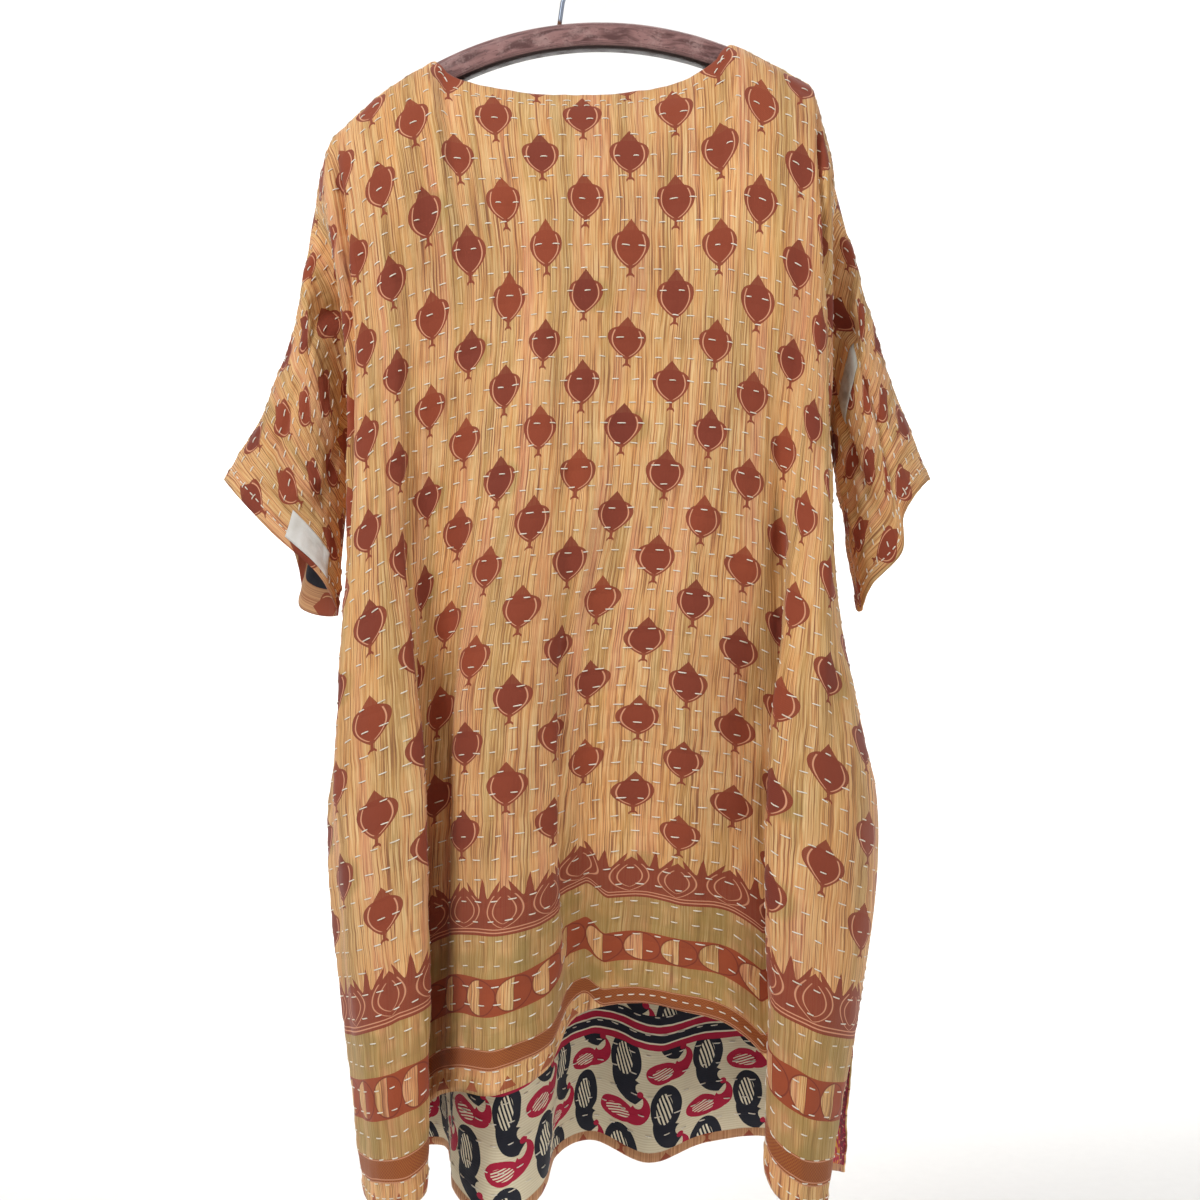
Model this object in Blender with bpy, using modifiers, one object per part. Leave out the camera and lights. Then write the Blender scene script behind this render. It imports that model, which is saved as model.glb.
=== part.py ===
"""A wide quilted tunic with grown-on sleeves, hanging open on a bowed wooden hanger.

Metres, +Z up. The origin is the seat of the hanger's hook, where a rail would touch it.
The near side, the front, faces -Y. Each cloth panel is cut in one piece with its half sleeves.
A point of a panel is found from its place in the flat cut: u runs across, from cuff to cuff, and
drop runs down, from the shoulder line. The folds of the body are hung from short tables.
"""

import math
from collections import namedtuple

import bmesh
import bpy
import numpy as np
from mathutils import Vector

# The cloth, in the flat cut
CLOTH_THICKNESS = 0.0016
SEAM_GAP = 0.0003  # between two panels at a seam
SEAM_TURN = 0.003  # the strip beside a seam that lies square to it
HALF_NECK = 0.1375
HALF_BODY = 0.370
YOKE_DROP = 0.24  # from the shoulder line down to the underarm
FRONT_LENGTH = 0.93  # from the shoulder line down to the hem

# The bowed bar of the hanger, which the shoulders lie on
BOW_RADIUS = 0.315
BOW_CENTRE_X = 0.0333
BOW_TOP_Z = -0.0693
BAR_HEIGHT = 0.024
BAR_DEPTH = 0.020
BAR_ROUNDING = 0.008
BAR_LIFT = 0.0006  # between the bar and the cloth on it
BOW_LEFT_DEG = -49.0
BOW_RIGHT_DEG = 36.0
RIDGE_RADIUS = BOW_RADIUS + BAR_LIFT + CLOTH_THICKNESS
RIDGE_CENTRE_Z = BOW_TOP_Z - BOW_RADIUS

# The neck
NECK_CENTRE_X = 0.0175
NECK_WRAP = 0.0155  # radius at which the cloth turns down over the bar
NECK_WRAP_RUN = 0.014  # width of cloth in which the neck edge crosses the bar
NECK_LEAVE_LESS = 0.50  # how much less the cloth fills out where it hangs from the neck edge
NECK_LEAVE_DOWN = 0.12
NECK_CENTRE_Z = -0.142
NECK_CENTRE_Y = 0.026

# The sleeves: their fold line, from the end of the hanger down to the cuff
TopPoint = namedtuple("TopPoint", "u x z")
SLEEVE_TOP_LEFT = (
    TopPoint(-0.5685, -0.3042, -0.4797),
    TopPoint(-0.4860, -0.2637, -0.4077),
    TopPoint(-0.4005, -0.2370, -0.3267),
    TopPoint(-0.3190, -0.2250, -0.2460),
)
SLEEVE_TOP_RIGHT = (
    TopPoint(0.3136, 0.2475, -0.2277),
    TopPoint(0.4254, 0.2763, -0.3357),
    TopPoint(0.4823, 0.2943, -0.3897),
    TopPoint(0.5792, 0.3303, -0.4797),
)
TIP_LEFT = -0.2515
TIP_RIGHT = 0.2150
CUFF_LOW_LEFT = (-0.204, 0.0, -0.602)
CUFF_LOW_RIGHT = (0.268, 0.0, -0.598)
SLEEVE_FULLNESS = 0.205  # how strongly the sleeve rounds out of its fold line
UNDER_FULLNESS = 0.150  # and into its under-seam
CLOSING_BEFORE = 0.025  # the cloth turns to close under the arm from here to this far along
CLOSING_RUN = 0.070
DROOP_FROM = 0.440  # a cuff's bends fade in from here, over this run
DROOP_RUN = 0.130
ARMPIT_U = 0.325
ARMPIT_WIDTH = 0.030
ARMPIT_DEPTH = 0.030
ARMPIT_SHIFT = 0.012

# The body, hung from its folds, from the left seam to the right one: each has its place u in the
# cut, and hangs at (x, y, z) at the chest, (x, y) at the elbow, (x, y) at the waist, then the hem
ELBOW_LEVEL = 0.232  # share of the way from the underarm to the hem
WAIST_LEVEL = 0.522
SLIT_LEVEL = 0.75
Fold = namedtuple("Fold", "u chest elbow waist hem")
FRONT_FOLDS = (
    Fold(-0.370, (-0.188, 0.000, -0.435), (-0.166, 0.000), (-0.200, 0.000), (-0.165, 0.000, -1.100)),
    Fold(-0.322, (-0.180, -0.038, -0.425), (-0.172, -0.040), (-0.206, -0.042), (-0.172, -0.048, -1.105)),
    Fold(-0.275, (-0.185, -0.068, -0.405), (-0.186, -0.073), (-0.188, -0.084), (-0.154, -0.088, -1.105)),
    Fold(-0.235, (-0.165, -0.076, -0.385), (-0.159, -0.092), (-0.150, -0.108), (-0.127, -0.108, -1.096)),
    Fold(-0.200, (-0.141, -0.074, -0.370), (-0.134, -0.083), (-0.113, -0.094), (-0.112, -0.086, -1.082)),
    Fold(-0.165, (-0.115, -0.067, -0.361), (-0.119, -0.060), (-0.130, -0.060), (-0.133, -0.050, -1.062)),
    Fold(-0.130, (-0.086, -0.068, -0.352), (-0.096, -0.062), (-0.116, -0.044), (-0.120, -0.020, -1.036)),
    Fold(-0.095, (-0.057, -0.074, -0.347), (-0.066, -0.080), (-0.094, -0.066), (-0.094, -0.062, -1.012)),
    Fold(-0.045, (-0.017, -0.078, -0.342), (-0.026, -0.092), (-0.048, -0.098), (-0.054, -0.106, -1.002)),
    Fold(0.000, (0.020, -0.076, -0.340), (0.014, -0.087), (-0.002, -0.083), (-0.012, -0.078, -0.988)),
    Fold(0.040, (0.058, -0.073, -0.340), (0.049, -0.076), (0.023, -0.063), (0.012, -0.028, -0.956)),
    Fold(0.085, (0.102, -0.074, -0.342), (0.094, -0.083), (0.074, -0.070), (0.060, -0.018, -0.946)),
    Fold(0.130, (0.142, -0.077, -0.346), (0.132, -0.087), (0.118, -0.073), (0.107, -0.024, -0.952)),
    Fold(0.168, (0.174, -0.075, -0.352), (0.166, -0.079), (0.160, -0.058), (0.151, -0.036, -0.980)),
    Fold(0.203, (0.202, -0.074, -0.361), (0.191, -0.070), (0.189, -0.052), (0.188, -0.036, -1.026)),
    Fold(0.238, (0.219, -0.080, -0.372), (0.203, -0.087), (0.176, -0.089), (0.173, -0.082, -1.072)),
    Fold(0.278, (0.234, -0.066, -0.388), (0.228, -0.092), (0.224, -0.104), (0.197, -0.102, -1.100)),
    Fold(0.325, (0.228, -0.042, -0.417), (0.238, -0.048), (0.269, -0.058), (0.228, -0.068, -1.110)),
    Fold(0.370, (0.238, 0.000, -0.435), (0.226, 0.000), (0.284, 0.000), (0.236, 0.000, -1.112)),
)
BACK_FOLDS = (
    Fold(-0.370, (-0.188, 0.000, -0.435), (-0.166, 0.000), (-0.200, 0.000), (-0.165, 0.000, -1.100)),
    Fold(-0.322, (-0.180, 0.038, -0.425), (-0.172, 0.042), (-0.200, 0.044), (-0.163, 0.056, -1.108)),
    Fold(-0.270, (-0.183, 0.066, -0.403), (-0.182, 0.074), (-0.180, 0.084), (-0.146, 0.086, -1.108)),
    Fold(-0.222, (-0.149, 0.070, -0.380), (-0.148, 0.084), (-0.144, 0.092), (-0.116, 0.078, -1.104)),
    Fold(-0.178, (-0.116, 0.068, -0.364), (-0.116, 0.074), (-0.114, 0.070), (-0.104, 0.046, -1.108)),
    Fold(-0.136, (-0.084, 0.064, -0.355), (-0.082, 0.062), (-0.084, 0.042), (-0.096, 0.000, -1.122)),
    Fold(-0.090, (-0.050, 0.064, -0.347), (-0.050, 0.060), (-0.054, 0.030), (-0.058, -0.034, -1.136)),
    Fold(-0.044, (-0.016, 0.066, -0.342), (-0.016, 0.068), (-0.020, 0.048), (-0.019, 0.000, -1.122)),
    Fold(0.000, (0.018, 0.070, -0.340), (0.018, 0.082), (0.012, 0.078), (-0.008, 0.050, -1.104)),
    Fold(0.052, (0.056, 0.072, -0.341), (0.058, 0.092), (0.054, 0.100), (0.026, 0.070, -1.096)),
    Fold(0.104, (0.095, 0.072, -0.343), (0.098, 0.092), (0.098, 0.100), (0.078, 0.060, -1.114)),
    Fold(0.158, (0.136, 0.070, -0.350), (0.140, 0.086), (0.142, 0.094), (0.132, 0.074, -1.100)),
    Fold(0.210, (0.175, 0.072, -0.362), (0.180, 0.084), (0.186, 0.090), (0.184, 0.088, -1.098)),
    Fold(0.262, (0.214, 0.070, -0.380), (0.220, 0.084), (0.230, 0.090), (0.226, 0.090, -1.110)),
    Fold(0.320, (0.227, 0.040, -0.413), (0.236, 0.046), (0.264, 0.056), (0.246, 0.062, -1.120)),
    Fold(0.370, (0.238, 0.000, -0.435), (0.226, 0.000), (0.284, 0.000), (0.236, 0.000, -1.112)),
)
# How far each panel's edge has swung from the seam line at the foot of a side slit
SLIT_SWING_FRONT = {-1: (0.002, -0.016), 1: (-0.024, -0.022)}
SLIT_SWING_BACK = {-1: (0.008, 0.022), 1: (0.022, 0.028)}

# How far each cuff is pushed outwards and downwards, by side: (share down the cuff, out, down)
FRONT_DROOP = {
    -1: ((0.0, 0.0, 0.0), (0.42, -0.010, 0.0), (0.62, -0.020, 0.0), (0.80, -0.013, 0.0), (1.0, 0.0, 0.0)),
    1: ((0.0, 0.0, 0.0), (0.34, -0.014, 0.0), (0.54, 0.002, 0.0), (0.72, -0.008, 0.0), (1.0, 0.0, 0.0)),
}
BACK_DROOP = {
    -1: ((0.0, 0.0, 0.0), (0.42, -0.009, 0.004), (0.62, 0.006, 0.008), (0.80, 0.026, 0.006), (1.0, 0.0, 0.0)),
    1: ((0.0, 0.0, 0.0), (0.34, -0.014, 0.003), (0.54, 0.002, 0.008), (0.72, -0.007, 0.004), (1.0, 0.0, 0.0)),
}

# How finely the panels are divided
YOKE_SHARES = (0.0, 0.045, 0.12, 0.25, 0.38, 0.52, 0.66, 0.80, 0.91, 1.0)
YOKE_ROWS = len(YOKE_SHARES) - 1
BODY_ROWS = 12
SLEEVE_COLUMNS = (0.390, 0.412, 0.445, 0.480, 0.512, 0.540, 0.560)
FRONT_STEPS = 3  # columns between one fold of the body and the next
BACK_STEPS = 3
NECK_STEPS = 4  # columns in which the neck edge crosses the bar
LEAST_SPACING = 0.003
BAR_STEPS = 19

# The hook, a bent wire
WIRE_RADIUS = 0.0020
HOOK_RADIUS = 0.0215
HOOK_FROM_DEG = -62.0
HOOK_TO_DEG = 203.0
SHANK_FOOT = (-0.0056, -0.0870)  # (x, z), inside the bar
SHANK_LEAN = (0.14, 0.99)
SHANK_LENGTH = 0.036
BORE_CLEARANCE = 0.0003

# What is sewn on the front: a label along the left cuff and a mended spot on the right sleeve
LABEL_THICKNESS = 0.0006
LABEL_US = (-0.562, -0.534)
LABEL_SHARES = (0.492, 0.520, 0.660, 0.740)
PATCH_THICKNESS = 0.0010
PATCH_US = (0.385, 0.405)
PATCH_SHARES = (0.480, 0.520, 0.660, 0.760)
SEWN_GAP = 0.0006


def through(knots, values, at):
    """A smooth curve through values at the knots: each piece is a cubic, whose slope at a knot
    is that of the line between the knots on either side."""
    knots = np.asarray(knots, float)
    values = np.asarray(values, float)
    at = np.asarray(at, float)
    slopes = np.gradient(values, knots, axis=0)
    slopes[1:-1] = (values[2:] - values[:-2]) / (knots[2:] - knots[:-2])[:, None]
    piece = np.clip(np.searchsorted(knots, at, side="right") - 1, 0, len(knots) - 2)
    span = knots[piece + 1] - knots[piece]
    share = ((at - knots[piece]) / span)[:, None]
    return hermite(
        values[piece],
        values[piece + 1],
        slopes[piece] * span[:, None],
        slopes[piece + 1] * span[:, None],
        share,
    )


def hermite(start, end, leave, arrive, share):
    """The cubic from start to end that leaves and arrives along the given directions."""
    square, cube = share**2, share**3
    return (
        (2 * cube - 3 * square + 1) * start
        + (cube - 2 * square + share) * leave
        + (3 * square - 2 * cube) * end
        + (cube - square) * arrive
    )


def ease(value):
    """0 below 0, 1 above 1, and an S-shaped rise between."""
    value = np.clip(value, 0.0, 1.0)
    return value * value * (3 - 2 * value)


def ridge_on_bow(x):
    """Height of the cloth's ridge where it lies on the bar."""
    return RIDGE_CENTRE_Z + np.sqrt(RIDGE_RADIUS**2 - (x - BOW_CENTRE_X) ** 2)


def shoulder_line(u):
    """Points (x, 0, z) of the ridge from a neck point to its cuff, for u on one side of the neck."""
    side = 1 if u[0] > 0 else -1
    tip = TIP_RIGHT if side > 0 else TIP_LEFT
    on_bar = side * np.linspace(HALF_NECK, abs(tip), 6)
    start = math.asin((NECK_CENTRE_X + side * HALF_NECK - BOW_CENTRE_X) / RIDGE_RADIUS)
    angles = start + (on_bar - side * HALF_NECK) / RIDGE_RADIUS
    xs = BOW_CENTRE_X + RIDGE_RADIUS * np.sin(angles)
    bar_points = [TopPoint(*row) for row in zip(on_bar, xs, ridge_on_bow(xs))]
    table = bar_points + list(SLEEVE_TOP_RIGHT if side > 0 else SLEEVE_TOP_LEFT)
    table.sort()
    knots = [point.u for point in table]
    return through(knots, [(point.x, 0.0, point.z) for point in table], u)


def neck_edge(u, facing):
    """Points of the neck edge: it crosses the bar beside each neck point, then dips between them."""
    x = NECK_CENTRE_X + u
    inside = HALF_NECK - np.abs(u)
    turn = np.clip(inside / NECK_WRAP_RUN, 0.0, 1.0) * math.pi / 2
    half_scoop = HALF_NECK - NECK_WRAP_RUN
    scoop = np.clip(1 - (u / half_scoop) ** 2, 0.0, 1.0) ** 0.62
    crossing = np.sign(u) * np.maximum(np.abs(u), half_scoop) + NECK_CENTRE_X
    z = ridge_on_bow(crossing) - NECK_WRAP * (1 - np.cos(turn))
    z += (NECK_CENTRE_Z - z) * scoop
    y = NECK_WRAP * np.sin(turn) + (NECK_CENTRE_Y - NECK_WRAP) * scoop
    return np.stack([x, facing * y, z], axis=-1), turn


def top_line(u, facing):
    """The top edge of a panel, and the direction in which the cloth leaves it, for every column."""
    points = np.zeros((len(u), 3))
    leave = np.tile([0.0, facing * SLEEVE_FULLNESS, 0.0], (len(u), 1))
    neck = np.abs(u) < HALF_NECK
    for mask in (u <= -HALF_NECK, u >= HALF_NECK):
        points[mask] = shoulder_line(u[mask])
    points[neck], turn = neck_edge(u[neck], facing)
    down = np.sin(turn)
    leave[neck, 1] *= 1 - NECK_LEAVE_LESS * down
    leave[neck, 2] = -NECK_LEAVE_DOWN * down
    return points, leave


def fold_places(folds, swing, level):
    """Where each fold is at one level, from 0 at the underarm to 1 at the hem."""
    levels = (0.0, ELBOW_LEVEL, WAIST_LEVEL, 1.0)
    places = []
    for fold in folds:
        plan = through(levels, [fold.chest[:2], fold.elbow, fold.waist, fold.hem[:2]], [level])[0]
        z = fold.chest[2] + (fold.hem[2] - fold.chest[2]) * level
        places.append([plan[0], plan[1], z])
    opened = max(0.0, (level - SLIT_LEVEL) / (1 - SLIT_LEVEL)) ** 1.5
    for index, side in ((0, -1), (-1, 1)):
        places[index][0] += swing[side][0] * opened
        places[index][1] += swing[side][1] * opened
    return np.array(places)


def body_row(folds, swing, u, level):
    """The points of one row of the body, all round from one side seam to the other."""
    return through([fold.u for fold in folds], fold_places(folds, swing, level), u)


def under_line(folds, swing, u):
    """The lower line of the yoke: the chest row of the body, and the under-seams of the sleeves."""
    body = np.abs(u) <= HALF_BODY
    points = np.zeros((len(u), 3))
    points[body] = body_row(folds, swing, u[body], 0.0)
    for side, corner, fold in ((-1, CUFF_LOW_LEFT, folds[0]), (1, CUFF_LOW_RIGHT, folds[-1])):
        mask = side * u > HALF_BODY
        cuff = abs(SLEEVE_TOP_LEFT[0].u if side < 0 else SLEEVE_TOP_RIGHT[-1].u)
        along = ((np.abs(u[mask]) - HALF_BODY) / (cuff - HALF_BODY))[:, None]
        points[mask] = np.array(fold.chest) + (np.array(corner) - np.array(fold.chest)) * along
    return points


def yoke(folds, swing, facing, u, share, droop):
    """The cloth above the underarm, with the half sleeves: share runs from the top line, at 0, to
    the under line, at 1. The armpit fold is a valley between the body and each sleeve."""
    top, leave = top_line(u, facing)
    under = under_line(folds, swing, u)
    elbow = body_row(folds, swing, np.clip(u, -HALF_BODY, HALF_BODY), ELBOW_LEVEL)
    hanging = (elbow - under) * (YOKE_DROP / (ELBOW_LEVEL * (FRONT_LENGTH - YOKE_DROP)))
    closing = np.array([0.0, -facing * UNDER_FULLNESS, 0.0])
    on_sleeve = ease((np.abs(u) - HALF_BODY + CLOSING_BEFORE) / CLOSING_RUN)[:, None]
    arrive = hanging * (1 - on_sleeve) + closing * on_sleeve
    points = hermite(
        top[:, None], under[:, None], leave[:, None], arrive[:, None], share[None, :, None]
    )
    swell = np.sin(math.pi * share)[None, :]
    valley = np.exp(-(((np.abs(u) - ARMPIT_U) / ARMPIT_WIDTH) ** 2))[:, None] * swell
    points[..., 0] -= np.sign(u)[:, None] * ARMPIT_SHIFT * valley
    points[..., 1] -= facing * ARMPIT_DEPTH * valley
    along = ease((np.abs(u) - DROOP_FROM) / DROOP_RUN)[:, None]
    for side, knots in droop.items():
        shares, pushes = np.split(np.array(knots), [1], axis=1)
        out, down = through(shares[:, 0], pushes, share).T
        sleeve = (side * u > 0)[:, None] * along
        points[..., 0] += side * out * sleeve
        points[..., 2] -= down * sleeve
    return points


def columns(folds, steps):
    """The u of every column: even steps between the folds, and the set columns of the sleeves."""
    knots = [fold.u for fold in folds]
    inner = []
    for left, right in zip(knots, knots[1:]):
        inner += list(np.linspace(left, right, steps, endpoint=False))
    inner.append(knots[-1])
    crossing = np.linspace(HALF_NECK, HALF_NECK - NECK_WRAP_RUN, NECK_STEPS + 1)
    inner += [side * value for side in (-1, 1) for value in crossing]
    left = [SLEEVE_TOP_LEFT[0].u] + [-value for value in SLEEVE_COLUMNS]
    right = [SLEEVE_TOP_RIGHT[-1].u] + list(SLEEVE_COLUMNS)
    values = sorted(set(np.round(inner + left + right, 5)))
    kept = [values[0]]
    for value in values[1:]:
        fixed = any(abs(abs(value) - edge) < 1e-6 for edge in (HALF_NECK, HALF_BODY))
        if value - kept[-1] > LEAST_SPACING or fixed:
            kept.append(value)
    return np.array(kept)


class Panel:
    """The outer surface of one panel, as a grid of columns and rows with strips at its seams."""

    def __init__(self, name, folds, swing, facing, steps, droop):
        self.name = name
        self.facing = facing
        self.u = columns(folds, steps)
        above = yoke(folds, swing, facing, self.u, np.array(YOKE_SHARES), droop)
        levels = np.linspace(0, 1, BODY_ROWS + 1)[1:]
        body = np.abs(self.u) <= HALF_BODY + 1e-9
        below = np.full((len(self.u), BODY_ROWS, 3), np.nan)
        for row, level in enumerate(levels):
            below[body, row] = body_row(folds, swing, self.u[body], level)
        self.grid = np.concatenate([above, below], axis=1)
        self.levels = levels
        self.body = np.nonzero(body)[0]

    def number(self, column, row):
        """The vertex number of a grid point."""
        return column * self.grid.shape[1] + row

    def cells(self):
        """The corners of every cell of cloth, all of the yoke and the body below it."""
        count, rows = self.grid.shape[:2]
        first, last = self.body[0], self.body[-1]
        found = []
        for i in range(count - 1):
            deepest = rows - 1 if first <= i < last else YOKE_ROWS
            for j in range(deepest):
                corners = [(i, j), (i + 1, j), (i + 1, j + 1), (i, j + 1)]
                found.append([self.number(*corner) for corner in corners])
        return found

    def seams(self):
        """Each seam as a list of vertex numbers: two shoulders, and two sides from cuff to slit."""
        left_neck = int(np.argmin(np.abs(self.u + HALF_NECK)))
        right_neck = int(np.argmin(np.abs(self.u - HALF_NECK)))
        count = len(self.u)
        first, last = int(self.body[0]), int(self.body[-1])
        closed = [k for k, level in enumerate(self.levels, YOKE_ROWS + 1) if level < SLIT_LEVEL + 0.001]
        return [
            [self.number(i, 0) for i in range(0, left_neck + 1)],
            [self.number(i, 0) for i in range(right_neck, count)],
            [self.number(i, YOKE_ROWS) for i in range(0, first + 1)]
            + [self.number(first, j) for j in closed],
            [self.number(i, YOKE_ROWS) for i in range(count - 1, last - 1, -1)]
            + [self.number(last, j) for j in closed],
        ]

    def surface(self):
        """Vertices and faces of the open outer surface, faces towards the outside."""
        points = self.grid.reshape(-1, 3).copy()
        faces = self.cells()
        edge = self.facing * SEAM_GAP / 2
        turn = self.facing * SEAM_TURN
        extra = []
        turned = {}
        for seam in self.seams():
            for vertex in seam:
                if vertex not in turned:
                    points[vertex, 1] = turn
                    turned[vertex] = len(points) + len(extra)
                    extra.append([points[vertex, 0], edge, points[vertex, 2]])
            for a, b in zip(seam, seam[1:]):
                faces.append([a, b, turned[b], turned[a]])
        rows = self.grid.shape[1]
        for column in (self.body[0], self.body[-1]):
            for row in range(YOKE_ROWS, rows):
                vertex = self.number(column, row)
                points[vertex, 1] = self.facing * max(SEAM_TURN, abs(points[vertex, 1]))
        points = np.vstack([points, extra])
        used = sorted({vertex for face in faces for vertex in face})
        renumber = {old: new for new, old in enumerate(used)}
        faces = [[renumber[vertex] for vertex in face] for face in faces]
        return points[used], faces

    def spot(self, u, share):
        """A point of the yoke's facets, and the outward direction there."""
        column = int(np.clip(np.searchsorted(self.u, u) - 1, 0, len(self.u) - 2))
        row = int(np.clip(np.searchsorted(YOKE_SHARES, share) - 1, 0, YOKE_ROWS - 1))
        a = (u - self.u[column]) / (self.u[column + 1] - self.u[column])
        b = (share - YOKE_SHARES[row]) / (YOKE_SHARES[row + 1] - YOKE_SHARES[row])
        corner = self.grid[column : column + 2, row : row + 2]
        point = (
            corner[0, 0] * (1 - a) * (1 - b)
            + corner[1, 0] * a * (1 - b)
            + corner[0, 1] * (1 - a) * b
            + corner[1, 1] * a * b
        )
        normal = np.cross(corner[1, 1] - corner[0, 0], corner[0, 1] - corner[1, 0])
        normal *= np.sign(normal[1]) * self.facing / np.linalg.norm(normal)
        return point, normal


def link(made, group, material):
    """Put an object into its collection and give it its material."""
    group.objects.link(made)
    made.data.materials.append(material)
    return made


def sheet_object(name, points, faces, outward, group, material, thickness, offset):
    """A wall: an open surface, turned to face outward, with its thickness added."""
    mesh = bpy.data.meshes.new(name)
    mesh.from_pydata([tuple(point) for point in points], [], [tuple(face) for face in faces])
    work = bmesh.new()
    work.from_mesh(mesh)
    bmesh.ops.recalc_face_normals(work, faces=work.faces)
    facing = sum(face.normal.dot(outward) * face.calc_area() for face in work.faces)
    if facing < 0:
        bmesh.ops.reverse_faces(work, faces=work.faces)
    work.to_mesh(mesh)
    work.free()
    mesh.shade_smooth()
    made = link(bpy.data.objects.new(name, mesh), group, material)
    wall = made.modifiers.new("wall", "SOLIDIFY")
    wall.thickness = thickness
    wall.offset = offset
    wall.use_quality_normals = True
    return made


def cloth_panel(panel, group, material):
    """One cloth panel as a wall under its outer surface."""
    points, faces = panel.surface()
    outward = Vector((0.0, panel.facing, 0.0))
    return sheet_object(
        panel.name, points, faces, outward, group, material, CLOTH_THICKNESS, -1.0
    )


def sewn_piece(name, panel, us, shares, thickness, group, material):
    """A small piece that lies on a panel: made from the panel's points, moved out."""
    points, faces = [], []
    for u in us:
        for share in shares:
            point, normal = panel.spot(u, share)
            points.append(point + normal * SEWN_GAP)
    rows = len(shares)
    for i in range(len(us) - 1):
        for j in range(rows - 1):
            faces.append([i * rows + j, (i + 1) * rows + j, (i + 1) * rows + j + 1, i * rows + j + 1])
    outward = Vector((0.0, panel.facing, 0.0))
    return sheet_object(name, points, faces, outward, group, material, thickness, 1.0)


def wire_points():
    """The middle line of the hook: up out of the bar, a short bend, then round the rail's seat."""
    lean = np.array(SHANK_LEAN) / np.hypot(*SHANK_LEAN)
    foot = np.array(SHANK_FOOT)
    top = foot + lean * SHANK_LENGTH
    centre = np.array([0.0, WIRE_RADIUS - HOOK_RADIUS])
    angles = np.radians(np.linspace(HOOK_FROM_DEG, HOOK_TO_DEG, 25))
    arc = centre + HOOK_RADIUS * np.stack([np.cos(angles), np.sin(angles)], axis=-1)
    heading = np.array([-math.sin(angles[0]), math.cos(angles[0])])
    reach = np.linalg.norm(arc[0] - top) * 1.1
    share = np.linspace(0, 1, 7)[:-1, None]
    bend = hermite(top, arc[0], lean * reach, heading * reach, share)
    shank = foot + (top - foot) * np.linspace(0, 1, 4)[:-1, None]
    return [(x, 0.0, z) for x, z in np.concatenate([shank, bend, arc])]


def hanger_hook(group, material):
    """The bent wire hook, whose seat is the origin."""
    points = wire_points()
    curve = bpy.data.curves.new("hanger_hook", "CURVE")
    curve.dimensions = "3D"
    curve.bevel_depth = WIRE_RADIUS
    curve.bevel_resolution = 2
    curve.use_fill_caps = True
    spline = curve.splines.new("POLY")
    spline.points.add(len(points) - 1)
    for index, point in enumerate(points):
        spline.points[index].co = (*point, 1.0)
    return link(bpy.data.objects.new("hanger_hook", curve), group, material)


def bar_outline():
    """The bow seen from the front, as points (x, z): two arcs about one centre."""
    angles = np.radians(np.linspace(BOW_LEFT_DEG, BOW_RIGHT_DEG, BAR_STEPS))
    centre = np.array([BOW_CENTRE_X, RIDGE_CENTRE_Z])
    ray = np.stack([np.sin(angles), np.cos(angles)], axis=-1)
    outer = centre + BOW_RADIUS * ray
    inner = centre + (BOW_RADIUS - BAR_HEIGHT) * ray
    return list(outer) + list(inner[::-1])


def hanger_bar(group, cutters, material):
    """The bowed wooden bar, rounded along its edges, with the bed of the hook bored into it."""
    curve = bpy.data.curves.new("hanger_bar", "CURVE")
    curve.dimensions = "2D"
    curve.fill_mode = "BOTH"
    curve.extrude = BAR_DEPTH / 2
    spline = curve.splines.new("POLY")
    outline = bar_outline()
    spline.points.add(len(outline) - 1)
    for index, (x, z) in enumerate(outline):
        spline.points[index].co = (x, z, 0.0, 1.0)
    spline.use_cyclic_u = True
    flat = bpy.data.objects.new("hanger_bar_outline", curve)
    flat.rotation_euler = (math.pi / 2, 0.0, 0.0)
    group.objects.link(flat)
    bpy.context.view_layer.update()
    mesh = bpy.data.meshes.new_from_object(flat.evaluated_get(bpy.context.evaluated_depsgraph_get()))
    mesh.transform(flat.matrix_world)
    bpy.data.objects.remove(flat)
    work = bmesh.new()
    work.from_mesh(mesh)
    bmesh.ops.remove_doubles(work, verts=work.verts, dist=0.00005)
    bmesh.ops.dissolve_limit(
        work, angle_limit=math.radians(1), verts=work.verts, edges=work.edges, delimit=set()
    )
    bmesh.ops.recalc_face_normals(work, faces=work.faces)
    work.to_mesh(mesh)
    work.free()
    mesh.name = "hanger_bar"
    made = link(bpy.data.objects.new("hanger_bar", mesh), group, material)
    rounding = made.modifiers.new("rounding", "BEVEL")
    rounding.width = BAR_ROUNDING
    rounding.segments = 3
    rounding.limit_method = "ANGLE"
    rounding.angle_limit = math.radians(40)
    bore = made.modifiers.new("bed of the hook", "BOOLEAN")
    bore.operation = "DIFFERENCE"
    bore.object = bore_cutter(cutters)
    return made


def bore_cutter(cutters):
    """A rod a little thicker than the wire, along the shank."""
    lean = Vector((SHANK_LEAN[0], 0.0, SHANK_LEAN[1])).normalized()
    foot = Vector((SHANK_FOOT[0], 0.0, SHANK_FOOT[1])) - lean * BORE_CLEARANCE
    bpy.ops.mesh.primitive_cylinder_add(
        vertices=20, radius=WIRE_RADIUS + BORE_CLEARANCE, depth=SHANK_LENGTH
    )
    rod = bpy.context.object
    rod.name = "hook_bore"
    rod.location = foot + lean * SHANK_LENGTH / 2
    rod.rotation_euler = lean.to_track_quat("Z", "Y").to_euler()
    rod.hide_render = True
    rod.display_type = "WIRE"
    for owner in list(rod.users_collection):
        owner.objects.unlink(rod)
    cutters.objects.link(rod)
    return rod


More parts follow.
